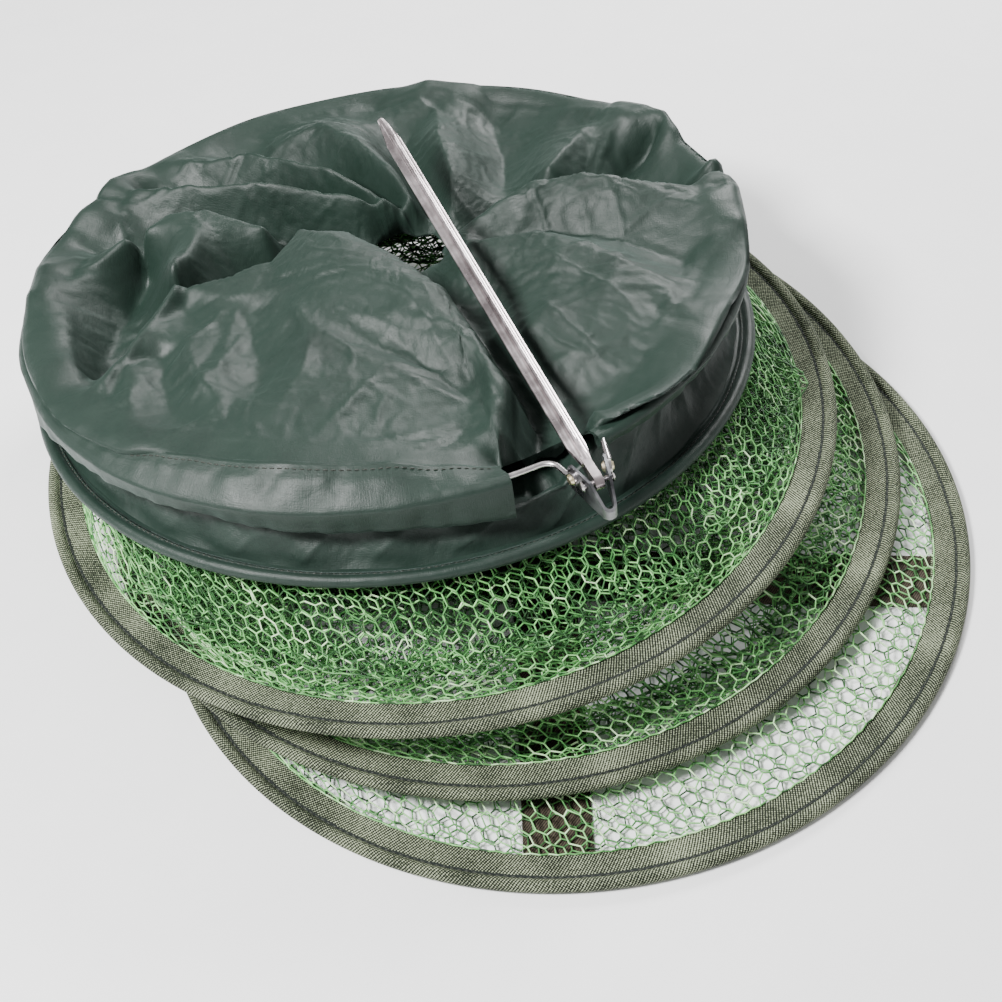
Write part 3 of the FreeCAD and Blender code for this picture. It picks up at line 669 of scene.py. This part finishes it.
def build_hem(look):
    """The hem: a closed band with soft waves and pulls. Gives the stitched stretch's points too."""
    azimuth = np.linspace(HEM_START, HEM_END, HEM_STEPS)
    angle = np.radians(azimuth)
    ring = hoops["mouth"].radius
    low, seam_r, seam_h = (hem_value(azimuth, column) * MM for column in (1, 2, 3))

    def at(radius, height):
        return np.column_stack([radius + 0 * low, height + 0 * low])

    half_way = at(seam_r * 0.5 + ring * 0.5, seam_h * 0.62 + 1.2 * MM)
    front = between_keys([(0.0, at(seam_r, seam_h)), (0.25, half_way),
                          (0.45, at(ring + 0.4 * MM, 2.5 * MM)), (0.55, at(ring + 2.6 * MM, 0)),
                          (0.75, at(ring + 2.2 * MM, low * 0.45)), (0.95, at(ring + 1.4 * MM, low)),
                          (1.0, at(ring + 0.9 * MM, low - 0.6 * MM))], HEM_FRONT)
    back = between_keys([(0.0, at(ring + 0.3 * MM, low + 0.2 * MM)), (0.3, at(ring - 1.6 * MM, low * 0.45)),
                         (0.5, at(ring - 2.1 * MM, 0)), (0.6, at(ring - 2.4 * MM, 1.6 * MM)),
                         (1.0, at(seam_r - 0.2 * MM, seam_h - 1.1 * MM))], HEM_BACK)
    section = np.concatenate([front, back], axis=1)
    radius, height = section[..., 0], section[..., 1]
    columns = section.shape[1]
    j = np.arange(columns)[None]
    below = np.exp(-((j - 20) / 6.0) ** 2)
    above = 0.55 * np.exp(-((j - 5) / 3.5) ** 2) + 0.55 * np.exp(-((j - 32) / 3.0) ** 2)
    sway = ripple(angle, (5, 9, 14, 22), 51)[:, None]
    crumple = ripple(angle, (33, 47, 71, 97), 52)[:, None]
    slant = 1 - 2 * abs(np.sin(angle[:, None] * 19 + j * 0.2)) ** 0.7
    slant = slant * ripple(angle, (3, 4, 7), 53)[:, None]
    bulge = np.exp(-((j - 12) / 5.0) ** 2) * (1 + ripple(angle, (4, 6, 11, 19), 54)[:, None])
    radius = radius + ((1.8 * sway + 0.6 * crumple) * below + (1.5 * slant + 0.4 * crumple) * above) * MM
    radius = radius + 0.9 * MM * bulge
    height = height + (1.6 * sway * below + (1.1 * slant + 0.45 * crumple) * above + 0.8 * bulge) * MM
    points = hoops["mouth"].at(np.broadcast_to(angle[:, None], radius.shape), radius, height)
    item = mesh_object("mouth_hem", points.reshape(-1, 3),
                       grid_faces(HEM_STEPS, columns, wrap_rows=False), look)
    across = np.linalg.norm(np.diff(points, axis=1), axis=2).mean(axis=0)
    grid_uv(item, angle * ring, running([*across, MM]))
    declare(item, "mouth_casing", "mouth")
    return item, points[azimuth > STITCHED_FROM, :HEM_FRONT]


def sew_hem(face, look):
    """The hem's stitches, two points below its seam: short threads that dip into the cloth."""
    points, pitch, thick = face[:, 2], 3.4 * MM, 0.3 * MM
    lift = unit(np.cross(np.gradient(points, axis=0), face[:, 3] - face[:, 1]))
    lift *= np.sign(lift[:, 2:3])
    run = running(np.linalg.norm(np.diff(points, axis=0), axis=1))
    starts = np.arange(int(run[-1] / pitch)) * pitch

    def on(values, at):
        return np.stack([np.interp(at, run, values[:, k]) for k in range(3)], axis=1)

    knots = np.linspace(0, 0.62 * pitch, 5)
    rises = thick * np.array([-0.7, 0.5, 0.8, 0.5, -0.7])
    places = [on(points, starts + s) + on(lift, starts + s) * h for s, h in zip(knots, rises)]
    mesh_points, faces = tubes(np.concatenate(places[:-1]), np.concatenate(places[1:]), thick, 5)
    item = mesh_object("mouth_hem_stitches", mesh_points, faces, look)
    declare(item, body="mouth")
    return item


# ---- Skirt: a tube of nylon from the collar, in to a hollow, and back out over itself to the mouth ----

# Crests and valleys that the heaped cloth passes through, as (x, y, z) in millimetres. For part of
# these places and of those in CREASES, a separate calculation turned a place picked by eye in the
# photo, and a guessed height, into millimetres on the model; the rest was set by hand.
FOLDS = (
    # the puffed lobe at the front left: its rim, and the drop behind it
    ((-23, -47, 112), (-21, -25, 114), (-17, -7, 118), (-29, 28, 120), (-41, 61, 121), (-56, 84, 120),
     (-69, 101, 118), (-86, 120, 116), (-111, 131, 113), (-126, 108, 115), (-147, 100, 115),
     (-165, 98, 114), (-183, 75, 114), (-196, 49, 114), (-209, 11, 114)),
    ((-38, 84, 94), (-47, 104, 86), (-60, 122, 80), (-80, 138, 79), (-112, 149, 82), (-138, 130, 83),
     (-152, 120, 88)),
    ((-166, 110, 97), (-180, 92, 98), (-193, 66, 102)),
    # creases on the lobe
    ((-120, 90, 119), (-111, 67, 122), (-105, 37, 124), (-110, 15, 126), (-128, -14, 127)),
    ((-138, 70, 112), (-132, 40, 113), (-132, 14, 117)),
    ((-169, 85, 110), (-166, 55, 117), (-156, 20, 122), (-147, -3, 124)),
    ((-180, 52, 112), (-176, 22, 114), (-168, 0, 118)),
    ((-195, 47, 116), (-192, 17, 119), (-180, -14, 121)),
    ((-35, -10, 115), (-56, 4, 120), (-84, 22, 124)),
    ((-40, -26, 114), (-60, -30, 120), (-90, -32, 126)),
    ((-36, 4, 113), (-60, 22, 118), (-86, 44, 120)),
    # left side: a long crest down to the hem, and the pleats outside it
    ((-131, 147, 106), (-159, 160, 111), (-163, 140, 113), (-168, 118, 115), (-176, 92, 117),
     (-190, 62, 118), (-205, 30, 117)),
    ((-193, 165, 88), (-203, 132, 81), (-216, 92, 83), (-217, 58, 92)),
    ((-226, 142, 101), (-230, 105, 103), (-226, 74, 104), (-214, 44, 106)),
    ((-231, 134, 99), (-205, 147, 105), (-180, 162, 110), (-159, 160, 111)),
    # rear left: long crests that run in to the hollow
    ((-225, 168, 86), (-190, 177, 85), (-150, 172, 83), (-110, 163, 81), (-84, 152, 79)),
    ((-222, 198, 90), (-200, 202, 98), (-177, 194, 103), (-126, 180, 109), (-86, 167, 104), (-58, 156, 94)),
    ((-200, 214, 82), (-160, 206, 81), (-115, 187, 84), (-76, 167, 83)),
    ((-181, 230, 91), (-138, 219, 101), (-96, 187, 107), (-60, 160, 96)),
    ((-150, 236, 79), (-118, 222, 80), (-88, 195, 84), (-62, 169, 83)),
    ((-129, 243, 88), (-100, 238, 101), (-80, 208, 108), (-66, 182, 107), (-54, 165, 97)),
    # rear: broad facets under the stick
    ((-58, 240, 78), (-54, 206, 79), (-47, 172, 79)),
    ((-36, 264, 85), (-37, 222, 97), (-32, 184, 99), (-33, 160, 92)),
    ((-6, 254, 77), (-2, 218, 77), (-4, 188, 81)),
    ((60, 236, 86), (45, 208, 97), (29, 184, 103), (20, 172, 102)),
    ((74, 194, 79), (60, 184, 81), (44, 176, 86)),
    # right: two overlapping lobes
    ((-36, 146, 82), (-10, 152, 85), (18, 160, 87), (45, 158, 88), (76, 148, 87), (98, 138, 91)),
    ((-36, 132, 97), (-11, 138, 110), (10, 142, 117), (35, 140, 120), (58, 131, 119), (82, 127, 114),
     (98, 122, 108)),
    ((-20, 123, 101), (8, 122, 104), (40, 108, 106), (78, 84, 102)),
    ((-28, 112, 107), (6, 104, 117), (40, 73, 121), (61, 55, 119), (84, 40, 112)),
    ((22, 63, 117), (29, 30, 117), (44, 14, 113)),
    ((-6, 41, 110), (4, 14, 107), (10, 0, 100)),
    # under the stick, down to the bracket
    ((-13, -50, 86), (-12, -28, 86), (-7, -8, 88), (-17, 26, 92), (-28, 56, 94), (-38, 84, 92),
     (-45, 110, 86)),
    ((-2, -52, 86), (2, -30, 88), (0, -8, 94), (-6, 24, 100), (-18, 54, 101)),
    ((14, -30, 104), (28, -26, 108), (46, -14, 112), (68, 8, 114), (84, 32, 114)),
    # where the cloth stands up over the hem
    ((-196, 228, 88), (-212, 210, 98), (-224, 186, 97)),
    ((40, 236, 88), (56, 222, 95), (69, 206, 100), (82, 186, 99)),
    ((94, 146, 108), (99, 120, 113), (99, 92, 112)),
    ((-70, 274, 80), (-40, 278, 88), (-14, 274, 84)),
    ((-243, 90, 104), (-246, 114, 106), (-240, 140, 102)),
    ((-238, 42, 108), (-226, 14, 112), (-210, -4, 114)),
)

# Sharp small folds on top of those: a line as (x, y), how far it stands up, and its width, in mm
CREASES = (
    # the crumpled star on the left of the lobe
    (((-167, 56), (-180, 55), (-189, 52), (-195, 43)), -2.6, 2.6),
    (((-167, 56), (-157, 66), (-149, 79)), 2.4, 2.0),
    (((-167, 54), (-176, 46), (-183, 32)), -2.0, 1.8),
    (((-167, 54), (-165, 41), (-158, 21), (-147, 3)), 2.8, 2.4),
    (((-158, 21), (-150, 30), (-144, 49), (-140, 61)), 2.0, 2.6),
    (((-194, 42), (-185, 30), (-175, 19)), 2.2, 2.0),
    (((-147, 3), (-159, -6), (-173, -15)), 1.8, 2.4),
    # long soft ridges over the lobe
    (((-124, 89), (-113, 65), (-107, 33), (-111, 11), (-122, -9), (-140, -24)), 2.2, 4.5),
    (((-32, 22), (-61, 34), (-99, 66)), 1.6, 1.8),
    (((-34, 3), (-57, 14), (-79, 21)), 1.5, 1.8),
    (((-68, 19), (-90, -12), (-108, -36)), 1.8, 2.6),
    (((-34, -22), (-54, -37), (-83, -52)), 2.4, 2.2),
    (((-33, -27), (-49, -44), (-70, -47)), -2.0, 2.0),
    # small folds in the left pleats and on the right lobe
    (((-218, 79), (-205, 101), (-194, 96)), 1.8, 1.8),
    (((-228, 109), (-224, 78), (-216, 51), (-210, 35)), -2.2, 2.2),
    (((2, 94), (25, 67), (43, 43), (51, 21)), 1.8, 2.2),
    (((38, 40), (45, 25), (51, 21)), 1.8, 1.6),
    (((31, 131), (36, 99)), 1.6, 1.8),
    (((79, 109), (75, 80), (71, 51)), -0.9, 1.0),
    (((8, -29), (25, -37), (38, -35), (63, -14), (78, 9)), 1.6, 2.2),
    (((-34, -16), (-52, -27), (-73, -36), (-100, -46)), 2.2, 3.0),
    (((-34, -18), (-46, -34), (-58, -46)), -2.2, 2.6),
    (((-34, -12), (-56, 4), (-84, 22), (-108, 50)), 2.0, 3.2),
    (((-34, -8), (-50, 12), (-70, 40)), -1.8, 2.6),
    (((-35, -4), (-46, 24), (-60, 60)), 1.6, 3.2),
    (((-37, 26), (-31, 0), (-29, -22)), -2.2, 1.7),
    (((-31, 28), (-26, 0), (-25, -22)), 1.6, 1.5),
    (((-140, 84), (-146, 66), (-150, 36), (-146, 1)), 1.8, 2.4),
    (((-150, 60), (-160, 30), (-172, 14)), -1.6, 2.2),
    (((-112, 60), (-90, 30), (-60, 12)), 1.4, 3.4),
    (((-170, -30), (-151, -38), (-126, -44)), 1.6, 3.0),
    (((-212, 120), (-200, 100), (-204, 80)), 1.8, 2.4),
    (((20, 100), (34, 84), (52, 70)), 1.6, 3.0),
    (((2, 60), (14, 36), (26, 16)), 1.8, 2.6),
    (((52, 50), (60, 28), (70, 18)), -1.6, 2.4),
    (((-100, 196), (-78, 178), (-62, 164)), 1.6, 2.4),
)
# How much the cloth slumps over the hem, by azimuth, and how far that takes its first rows (out, up)
SLUMP = ((-60, 0.0), (-56, 1.1), (-48, 1.3), (-20, 1.2), (10, 0.9), (30, 0.95), (80, 0.55),
         (120, 0.6), (160, 0.75), (185, 0.55), (212, 0.7), (228, 0.5), (238, 0.0), (300, 0.0))
SLUMP_ROWS = ((6.0, 3.0), (9.0, 3.2), (8.5, 3.6), (7.0, 3.2), (5.0, 2.4), (3.0, 1.6), (1.5, 0.8))
# How far the wall below the hem falls inwards, in millimetres by azimuth
WALL_SINK = ((-60, -2), (-52, -3), (-44, -11), (-30, -12), (-14, -7), (8, -2), (90, 0), (200, 0), (225, -4),
             (240, -2), (286, -1), (300, -2))
HOLLOW_CENTRE = np.array((-60.0, 143.0, 80.0)) * MM
HOLLOW_REACH = (21 * MM, 16 * MM)
FOOT_RADIUS, KNEE_RADIUS, TUCK_RADIUS = 174.6 * MM, 174 * MM, 160 * MM   # the layer below, going up
SLIT_RADIUS, SLIT_DROP = 153, 17      # the loose edge where the hem leaves a gap, in mm
HEM_CLEARANCE = 5.8 * MM      # slumped cloth over the mouth hoop's plane
STICK_GAP, MARKED_STICK_GAP = 7.5 * MM, 7.2 * MM   # under the stick's middle, before and after creasing
HEAP_SPACING = 4 * MM         # between the heap's knots along a fold
HEAP_SOFTNESS = 2.2 * MM
SEAM_RADIUS = 175 * MM        # about where the skirt meets the hem and the collar
SETTLE_FRAMES = 8
SETTLE_CAP = 5 * MM           # how far the simulation may move a point
SKIRT_STEPS = 560
UPPER_ROWS, LOWER_ROWS = 90, 46


class Heap:
    """Height of the heaped cloth over the floor, a surface through every crest, valley and edge."""

    def __init__(self, lines):
        knots = []
        for line in lines:
            for a, b in zip(line[:-1], line[1:]):
                count = max(1, round(np.linalg.norm(b - a) / HEAP_SPACING))
                knots.append(a + (b - a) * (np.arange(count) / count)[:, None])
            knots.append(line[-1:])
        self.knots = np.concatenate(knots)
        count = len(self.knots)
        rows = np.zeros((count + 3, count + 3))
        rows[:count, :count] = self.shape(self.knots) - 0.4 * MM * np.eye(count)
        rows[:count, count:] = self.plane(self.knots)
        rows[count:, :count] = self.plane(self.knots).T
        self.weights = np.linalg.solve(rows, np.concatenate([self.knots[:, 2], np.zeros(3)]))

    def shape(self, places):
        gap = places[:, None, :2] - self.knots[None, :, :2]
        return np.sqrt((gap ** 2).sum(axis=2) + HEAP_SOFTNESS ** 2)

    def plane(self, places):
        return np.column_stack([np.ones(len(places)), places[:, 0], places[:, 1]])

    def __call__(self, places):
        return np.concatenate([np.hstack([self.shape(p), self.plane(p)]) @ self.weights
                               for p in np.array_split(places, 20)])


def skirt_edge(azimuth):
    """The skirt's outer edge: tucked into the hem, and loose where the hem leaves a gap."""
    inside = np.clip(azimuth, HEM_START, HEM_END)
    radius = hem_value(inside, 2) + 1.2
    height = hem_value(inside, 3) - 0.7
    gap = np.minimum(azimuth - HEM_END, HEM_START + 360 - azimuth)
    loose = smoothstep(gap / 2.5)
    radius = radius + (SLIT_RADIUS - radius) * loose
    height = height + (-SLIT_DROP - height) * loose
    return hoops["mouth"].at(np.radians(azimuth), radius * MM, height * MM)


def under_stick(points, gap):
    """Press cloth down where it would touch the folded stick."""
    low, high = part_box("bank_stick")
    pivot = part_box("stake_pivot_pin")
    foot = (np.array(pivot[0]) + np.array(pivot[1])) / 2
    tip = np.array((low[0] + 4 * MM, high[1] - 2 * MM, high[2] - 4 * MM))
    run = tip - foot
    share = np.clip((points[:, :2] - foot[:2]) @ run[:2] / (run[:2] @ run[:2]), 0, 1)
    beside = np.linalg.norm(points[:, :2] - (foot[:2] + share[:, None] * run[:2]), axis=1)
    ceiling = foot[2] + share * run[2] - gap + np.clip(beside - 5 * MM, 0, None) * 1.6
    points[:, 2] = np.minimum(points[:, 2], ceiling)


def crease(points, line, depth, width):
    """Raise or sink cloth along a line, sharply at its middle and fading to the line's ends."""
    line = np.asarray(line, float) * MM
    near = np.full(len(points), 1.0)
    fade = np.zeros(len(points))
    for k, (a, b) in enumerate(zip(line[:-1], line[1:])):
        run = b - a
        share = np.clip((points[:, :2] - a) @ run / (run @ run), 0, 1)
        gap = np.linalg.norm(points[:, :2] - (a + share[:, None] * run), axis=1)
        along = (k + share) / (len(line) - 1)
        closer = gap < near
        near = np.where(closer, gap, near)
        fade = np.where(closer, np.sin(np.pi * (0.06 + 0.88 * along)) ** 0.7, fade)
    points[:, 2] += depth * MM * np.exp(-near / (width * MM)) * fade


def sharpen(points, heap, line):
    """Make a fold of the heap crisper: a crest stands up and a valley sinks along its middle."""
    run = np.gradient(line[:, :2], axis=0)
    side = unit(np.column_stack([-run[:, 1], run[:, 0]])) * 9 * MM
    beside = (heap(line[:, :2] + side) + heap(line[:, :2] - side)) / 2
    stands = float((heap(line[:, :2]) - beside).mean() / MM)
    crease(points, line[:, :2] / MM, min(max(stands * 0.45, -2.2), 2.2), 3.4)


def wrinkles(points, scale, seed, stretch):
    """Soft folds: sums of slanted waves with sharp crests, whose phase other waves bend."""
    draw = np.random.default_rng(seed)
    x, y = points[:, 0] / scale, points[:, 1] / scale
    bend = np.zeros(len(points))
    for _ in range(4):
        turn = draw.uniform(0, 2 * np.pi)
        bend += np.sin(0.45 * (x * math.cos(turn) + y * math.sin(turn)) + draw.uniform(0, 7))
    total = np.zeros(len(points))
    for _ in range(5):
        turn = draw.uniform(0, np.pi)
        wave = x * math.cos(turn) * stretch + y * math.sin(turn) + bend * draw.uniform(0.8, 1.6)
        total += 1 - 2 * abs(np.sin(wave + draw.uniform(0, 7))) ** 0.8
    return total / 5


def outwards(points):
    """Level directions from the mouth's centre out to points."""
    return unit((points - hoops["mouth"].centre) * (1, 1, 0))


def slump_over_hem(cloth, azimuth):
    """Push the first rows out over the hem, except along the front where the hem shows."""
    amount = track(SLUMP, azimuth) * (1 + 0.22 * ripple(np.radians(azimuth), (5, 9, 14), 91))
    outward = outwards(cloth[:, 0])
    for row, (out, up) in enumerate(SLUMP_ROWS, start=1):
        cloth[:, row] += outward * (amount * out * MM)[:, None]
        cloth[:, row, 2] += amount * up * MM
        if row < 5:
            hem_top = hoops["mouth"].plane_z(cloth[:, row, 0], cloth[:, row, 1]) + HEM_CLEARANCE
            clear = smoothstep(amount / 0.4)
            cloth[:, row, 2] += np.clip(hem_top - cloth[:, row, 2], 0, None) * clear


def upper_skirt(edge, rim, heap, azimuth):
    """Rows of the visible layer, from the mouth's seam over the heap and in to the hollow."""
    share = np.linspace(0, 1, UPPER_ROWS)
    spread = 0.55 * share + 0.45 * (1 - (1 - share) ** 1.6)
    cloth = (edge[:, None] + (rim - edge)[:, None] * spread[None, :, None]).reshape(-1, 3)
    cloth[:, 2] = heap(cloth)
    free = np.tile(np.clip(share / 0.10, 0, 1) * np.clip((1 - share) / 0.08, 0.25, 1), SKIRT_STEPS)
    large, small = wrinkles(cloth, 13 * MM, 71, 0.8), wrinkles(cloth, 5.5 * MM, 72, 0.7)
    cloth[:, 2] += free * (1.3 * large + 0.55 * small) * MM
    under_stick(cloth, STICK_GAP)
    cloth = cloth.reshape(SKIRT_STEPS, UPPER_ROWS, 3)
    cloth[:, 0] = edge
    slump_over_hem(cloth, azimuth)
    return cloth


def lower_skirt(azimuth, rim, heap):
    """Rows of the layer below: up from the collar behind the hem, then in under the upper layer."""
    angle = np.radians(azimuth)
    ring, collar = hoops["mouth"], hoops["collar"]
    low = np.where(azimuth <= HEM_END, hem_value(np.minimum(azimuth, HEM_END), 1), -22.0) * MM
    low = np.convolve(np.concatenate([low[-6:], low, low[:6]]), np.ones(13) / 13, "valid")
    foot = collar.at(angle, FOOT_RADIUS, 0.2 * MM)
    knee = ring.at(angle, KNEE_RADIUS, low - 1.5 * MM)
    over = ring.at(angle, TUCK_RADIUS, low - 5 * MM)
    inner = HOLLOW_CENTRE + (over - HOLLOW_CENTRE) * 0.45
    inner[:, 2] = collar.plane_z(inner[:, 0], inner[:, 1]) + 11 * MM
    start = foot * 0.75 + knee * 0.25 + np.array((0, 0, 2 * MM))
    cloth = between_keys([(0.0, foot), (0.1, start), (0.4, knee), (0.5, over), (0.78, inner), (1.0, rim)],
                         LOWER_ROWS)
    share = np.linspace(0, 1, LOWER_ROWS)
    wall = np.sin(np.pi * np.clip(share / 0.45, 0, 1)) ** 0.7
    row = np.arange(LOWER_ROWS)[None]

    def pleats(waves, slant, bent, seed):
        return np.sin(waves * angle[:, None] + slant * row + bent * ripple(angle, (3, 5), seed)[:, None])

    fold = 1.6 * ripple(angle, (6, 11, 17), 81)[:, None] + 1.2 * pleats(27, 0.2, 2.2, 82)
    fold = fold + 1.0 * (1 - 2 * abs(pleats(15, -0.16, 1.8, 85)) ** 0.7)
    fold = fold + 0.3 * pleats(53, -0.35, 3.0, 83) * (0.5 + 0.5 * ripple(angle, (5, 8), 84)[:, None])
    fold = fold + track(WALL_SINK, azimuth)[:, None]
    cloth = cloth + outwards(knee)[:, None] * (fold * wall[None])[..., None] * MM
    flat = cloth.reshape(-1, 3)
    inside = np.tile(share, SKIRT_STEPS) > 0.45
    flat[inside, 2] = np.minimum(flat[inside, 2], heap(flat[inside]) - 4 * MM)
    cloth = flat.reshape(cloth.shape)
    cloth[:, -1] = rim
    return cloth


def settle(item, goals):
    """Let cloth buckle for a few frames. Points are drawn to the layout by their goals, 1 to stay."""
    before = positions(item.data)
    group = item.vertex_groups.new(name="pinned")
    for goal in np.unique(goals):
        group.add(np.flatnonzero(goals == goal).tolist(), float(goal), "REPLACE")
    cloth = item.modifiers.new("settle", "CLOTH")
    rules = cloth.settings
    rules.quality = 4
    rules.mass = 0.1
    rules.air_damping = 2.0
    rules.tension_stiffness = rules.compression_stiffness = 14
    rules.shear_stiffness = 4
    rules.bending_stiffness = 0.1
    rules.vertex_group_mass = "pinned"
    rules.shrink_min = -0.018
    rules.effector_weights.gravity = 0.15
    scene = bpy.context.scene
    for number in range(1, SETTLE_FRAMES + 1):
        scene.frame_set(number)
    shaped = item.evaluated_get(bpy.context.evaluated_depsgraph_get()).to_mesh()
    move = positions(shaped) - before
    item.modifiers.remove(cloth)
    item.vertex_groups.remove(group)
    scene.frame_set(1)
    reach = np.linalg.norm(move, axis=1, keepdims=True)
    move *= np.minimum(1, SETTLE_CAP / np.maximum(reach, 1e-9))
    return before + move


def fold_marks(points, heap):
    """The settled cloth's crisp folds and creases, kept under the stick."""
    for line in FOLDS:
        sharpen(points, heap, np.array(line, float) * MM)
    for line, depth, width in CREASES:
        crease(points, line, depth, width)
    under_stick(points, MARKED_STICK_GAP)


def build_skirt(look, trim):
    """The skirt: laid out in its folds from the collar to the mouth's hem, settled by a cloth simulation,
    then creased.
    """
    azimuth = np.linspace(HEM_START, HEM_START + 360, SKIRT_STEPS, endpoint=False)
    angle = np.radians(azimuth)
    edge = skirt_edge(azimuth)
    rim = HOLLOW_CENTRE + np.column_stack([
        (HOLLOW_REACH[0] + 2.4 * MM * ripple(angle, (3, 5, 8), 61)) * np.cos(angle),
        (HOLLOW_REACH[1] + 2.0 * MM * ripple(angle, (2, 6, 9), 62)) * np.sin(angle),
        1.6 * MM * ripple(angle, (4, 7), 63)])
    lines = [np.array(line, float) * MM for line in FOLDS]
    lines += [edge[k:k + 1] for k in range(0, SKIRT_STEPS, 6)]
    lines += [rim[k:k + 1] for k in range(0, SKIRT_STEPS, 20)]
    heap = Heap(lines)
    upper = upper_skirt(edge, rim, heap, azimuth)
    lower = lower_skirt(azimuth, rim, heap)
    points = np.concatenate([lower, upper[:, ::-1][:, 1:]], axis=1)
    columns = points.shape[1]
    item = mesh_object("mouth_skirt_cloth", points.reshape(-1, 3),
                       grid_faces(SKIRT_STEPS, columns, wrap_columns=False), look)
    across = np.linalg.norm(np.diff(points, axis=1), axis=2).mean(axis=0)
    grid_uv(item, np.linspace(0, 2 * np.pi * SEAM_RADIUS, SKIRT_STEPS + 1), running(across))
    place = np.tile(np.arange(columns), SKIRT_STEPS)
    shaped = points.reshape(-1, 3)
    goals = np.where((place < 2) | (place > columns - 8), 1.0, np.where(place < 20, 0.5, 0.12))
    shaped = settle(item, goals)
    loose = (place > LOWER_ROWS) & (place < columns - 6)
    visible = shaped[loose]
    fold_marks(visible, heap)
    shaped[loose] = visible
    item.data.vertices.foreach_set("co", shaped.ravel())
    item.data.update()
    declare(item, "mouth_skirt")
    set_blend(item)


# ---- The model ----

add_camera()
add_studio()

web, cloth = webbing(), nylon()
twine = thread("sleeve_stitching", (0.014, 0.017, 0.012), (0.028, 0.033, 0.025))
for seed, name in enumerate(("base", "lower", "upper")):
    build_sleeve(f"{name}_webbing_sleeve", f"{name}_hoop_sleeve", name, web, 15.2 * MM,
                 20 + seed * 5)
    build_stitches(f"{name}_sleeve_stitches", name, twine, 3.4 * MM, seed)
build_sleeve("collar_piping_cover", "collar_piping", "collar", cloth, 7.4 * MM, 47)
build_stitches("collar_stitches", "collar", twine, 3.0 * MM, 9)

greens = [thread(*green) for green in GREENS]
build_base_net()
for seed, net in enumerate(SIDE_NETS, start=31):
    build_side_net(*net, seed)

bright = steel("bright_steel", (0.45, 0.42, 0.42), (0.8, 0.77, 0.77), 0.3)
for node, look in (
    ("base_strap_lengthwise", strap_weave()),
    ("base_strap_crosswise", strap_weave()),
    ("mouth_wire", bright),
    ("stake_pivot_pin", bright),
    ("stake_bracket", steel("bracket_steel", (0.10, 0.10, 0.11), (0.42, 0.42, 0.44), 0.35)),
    ("wire_rivets", steel("rivet_brass", (0.55, 0.46, 0.26), (0.85, 0.78, 0.6), 0.35)),
    ("bank_stick", steel("stick_metal", (0.42, 0.36, 0.37), (0.86, 0.78, 0.79), 0.32)),
):
    NODES[node].material_slots[0].material = look

hem, hem_face = build_hem(cloth)
build_skirt(cloth, [hem, sew_hem(hem_face, twine)])
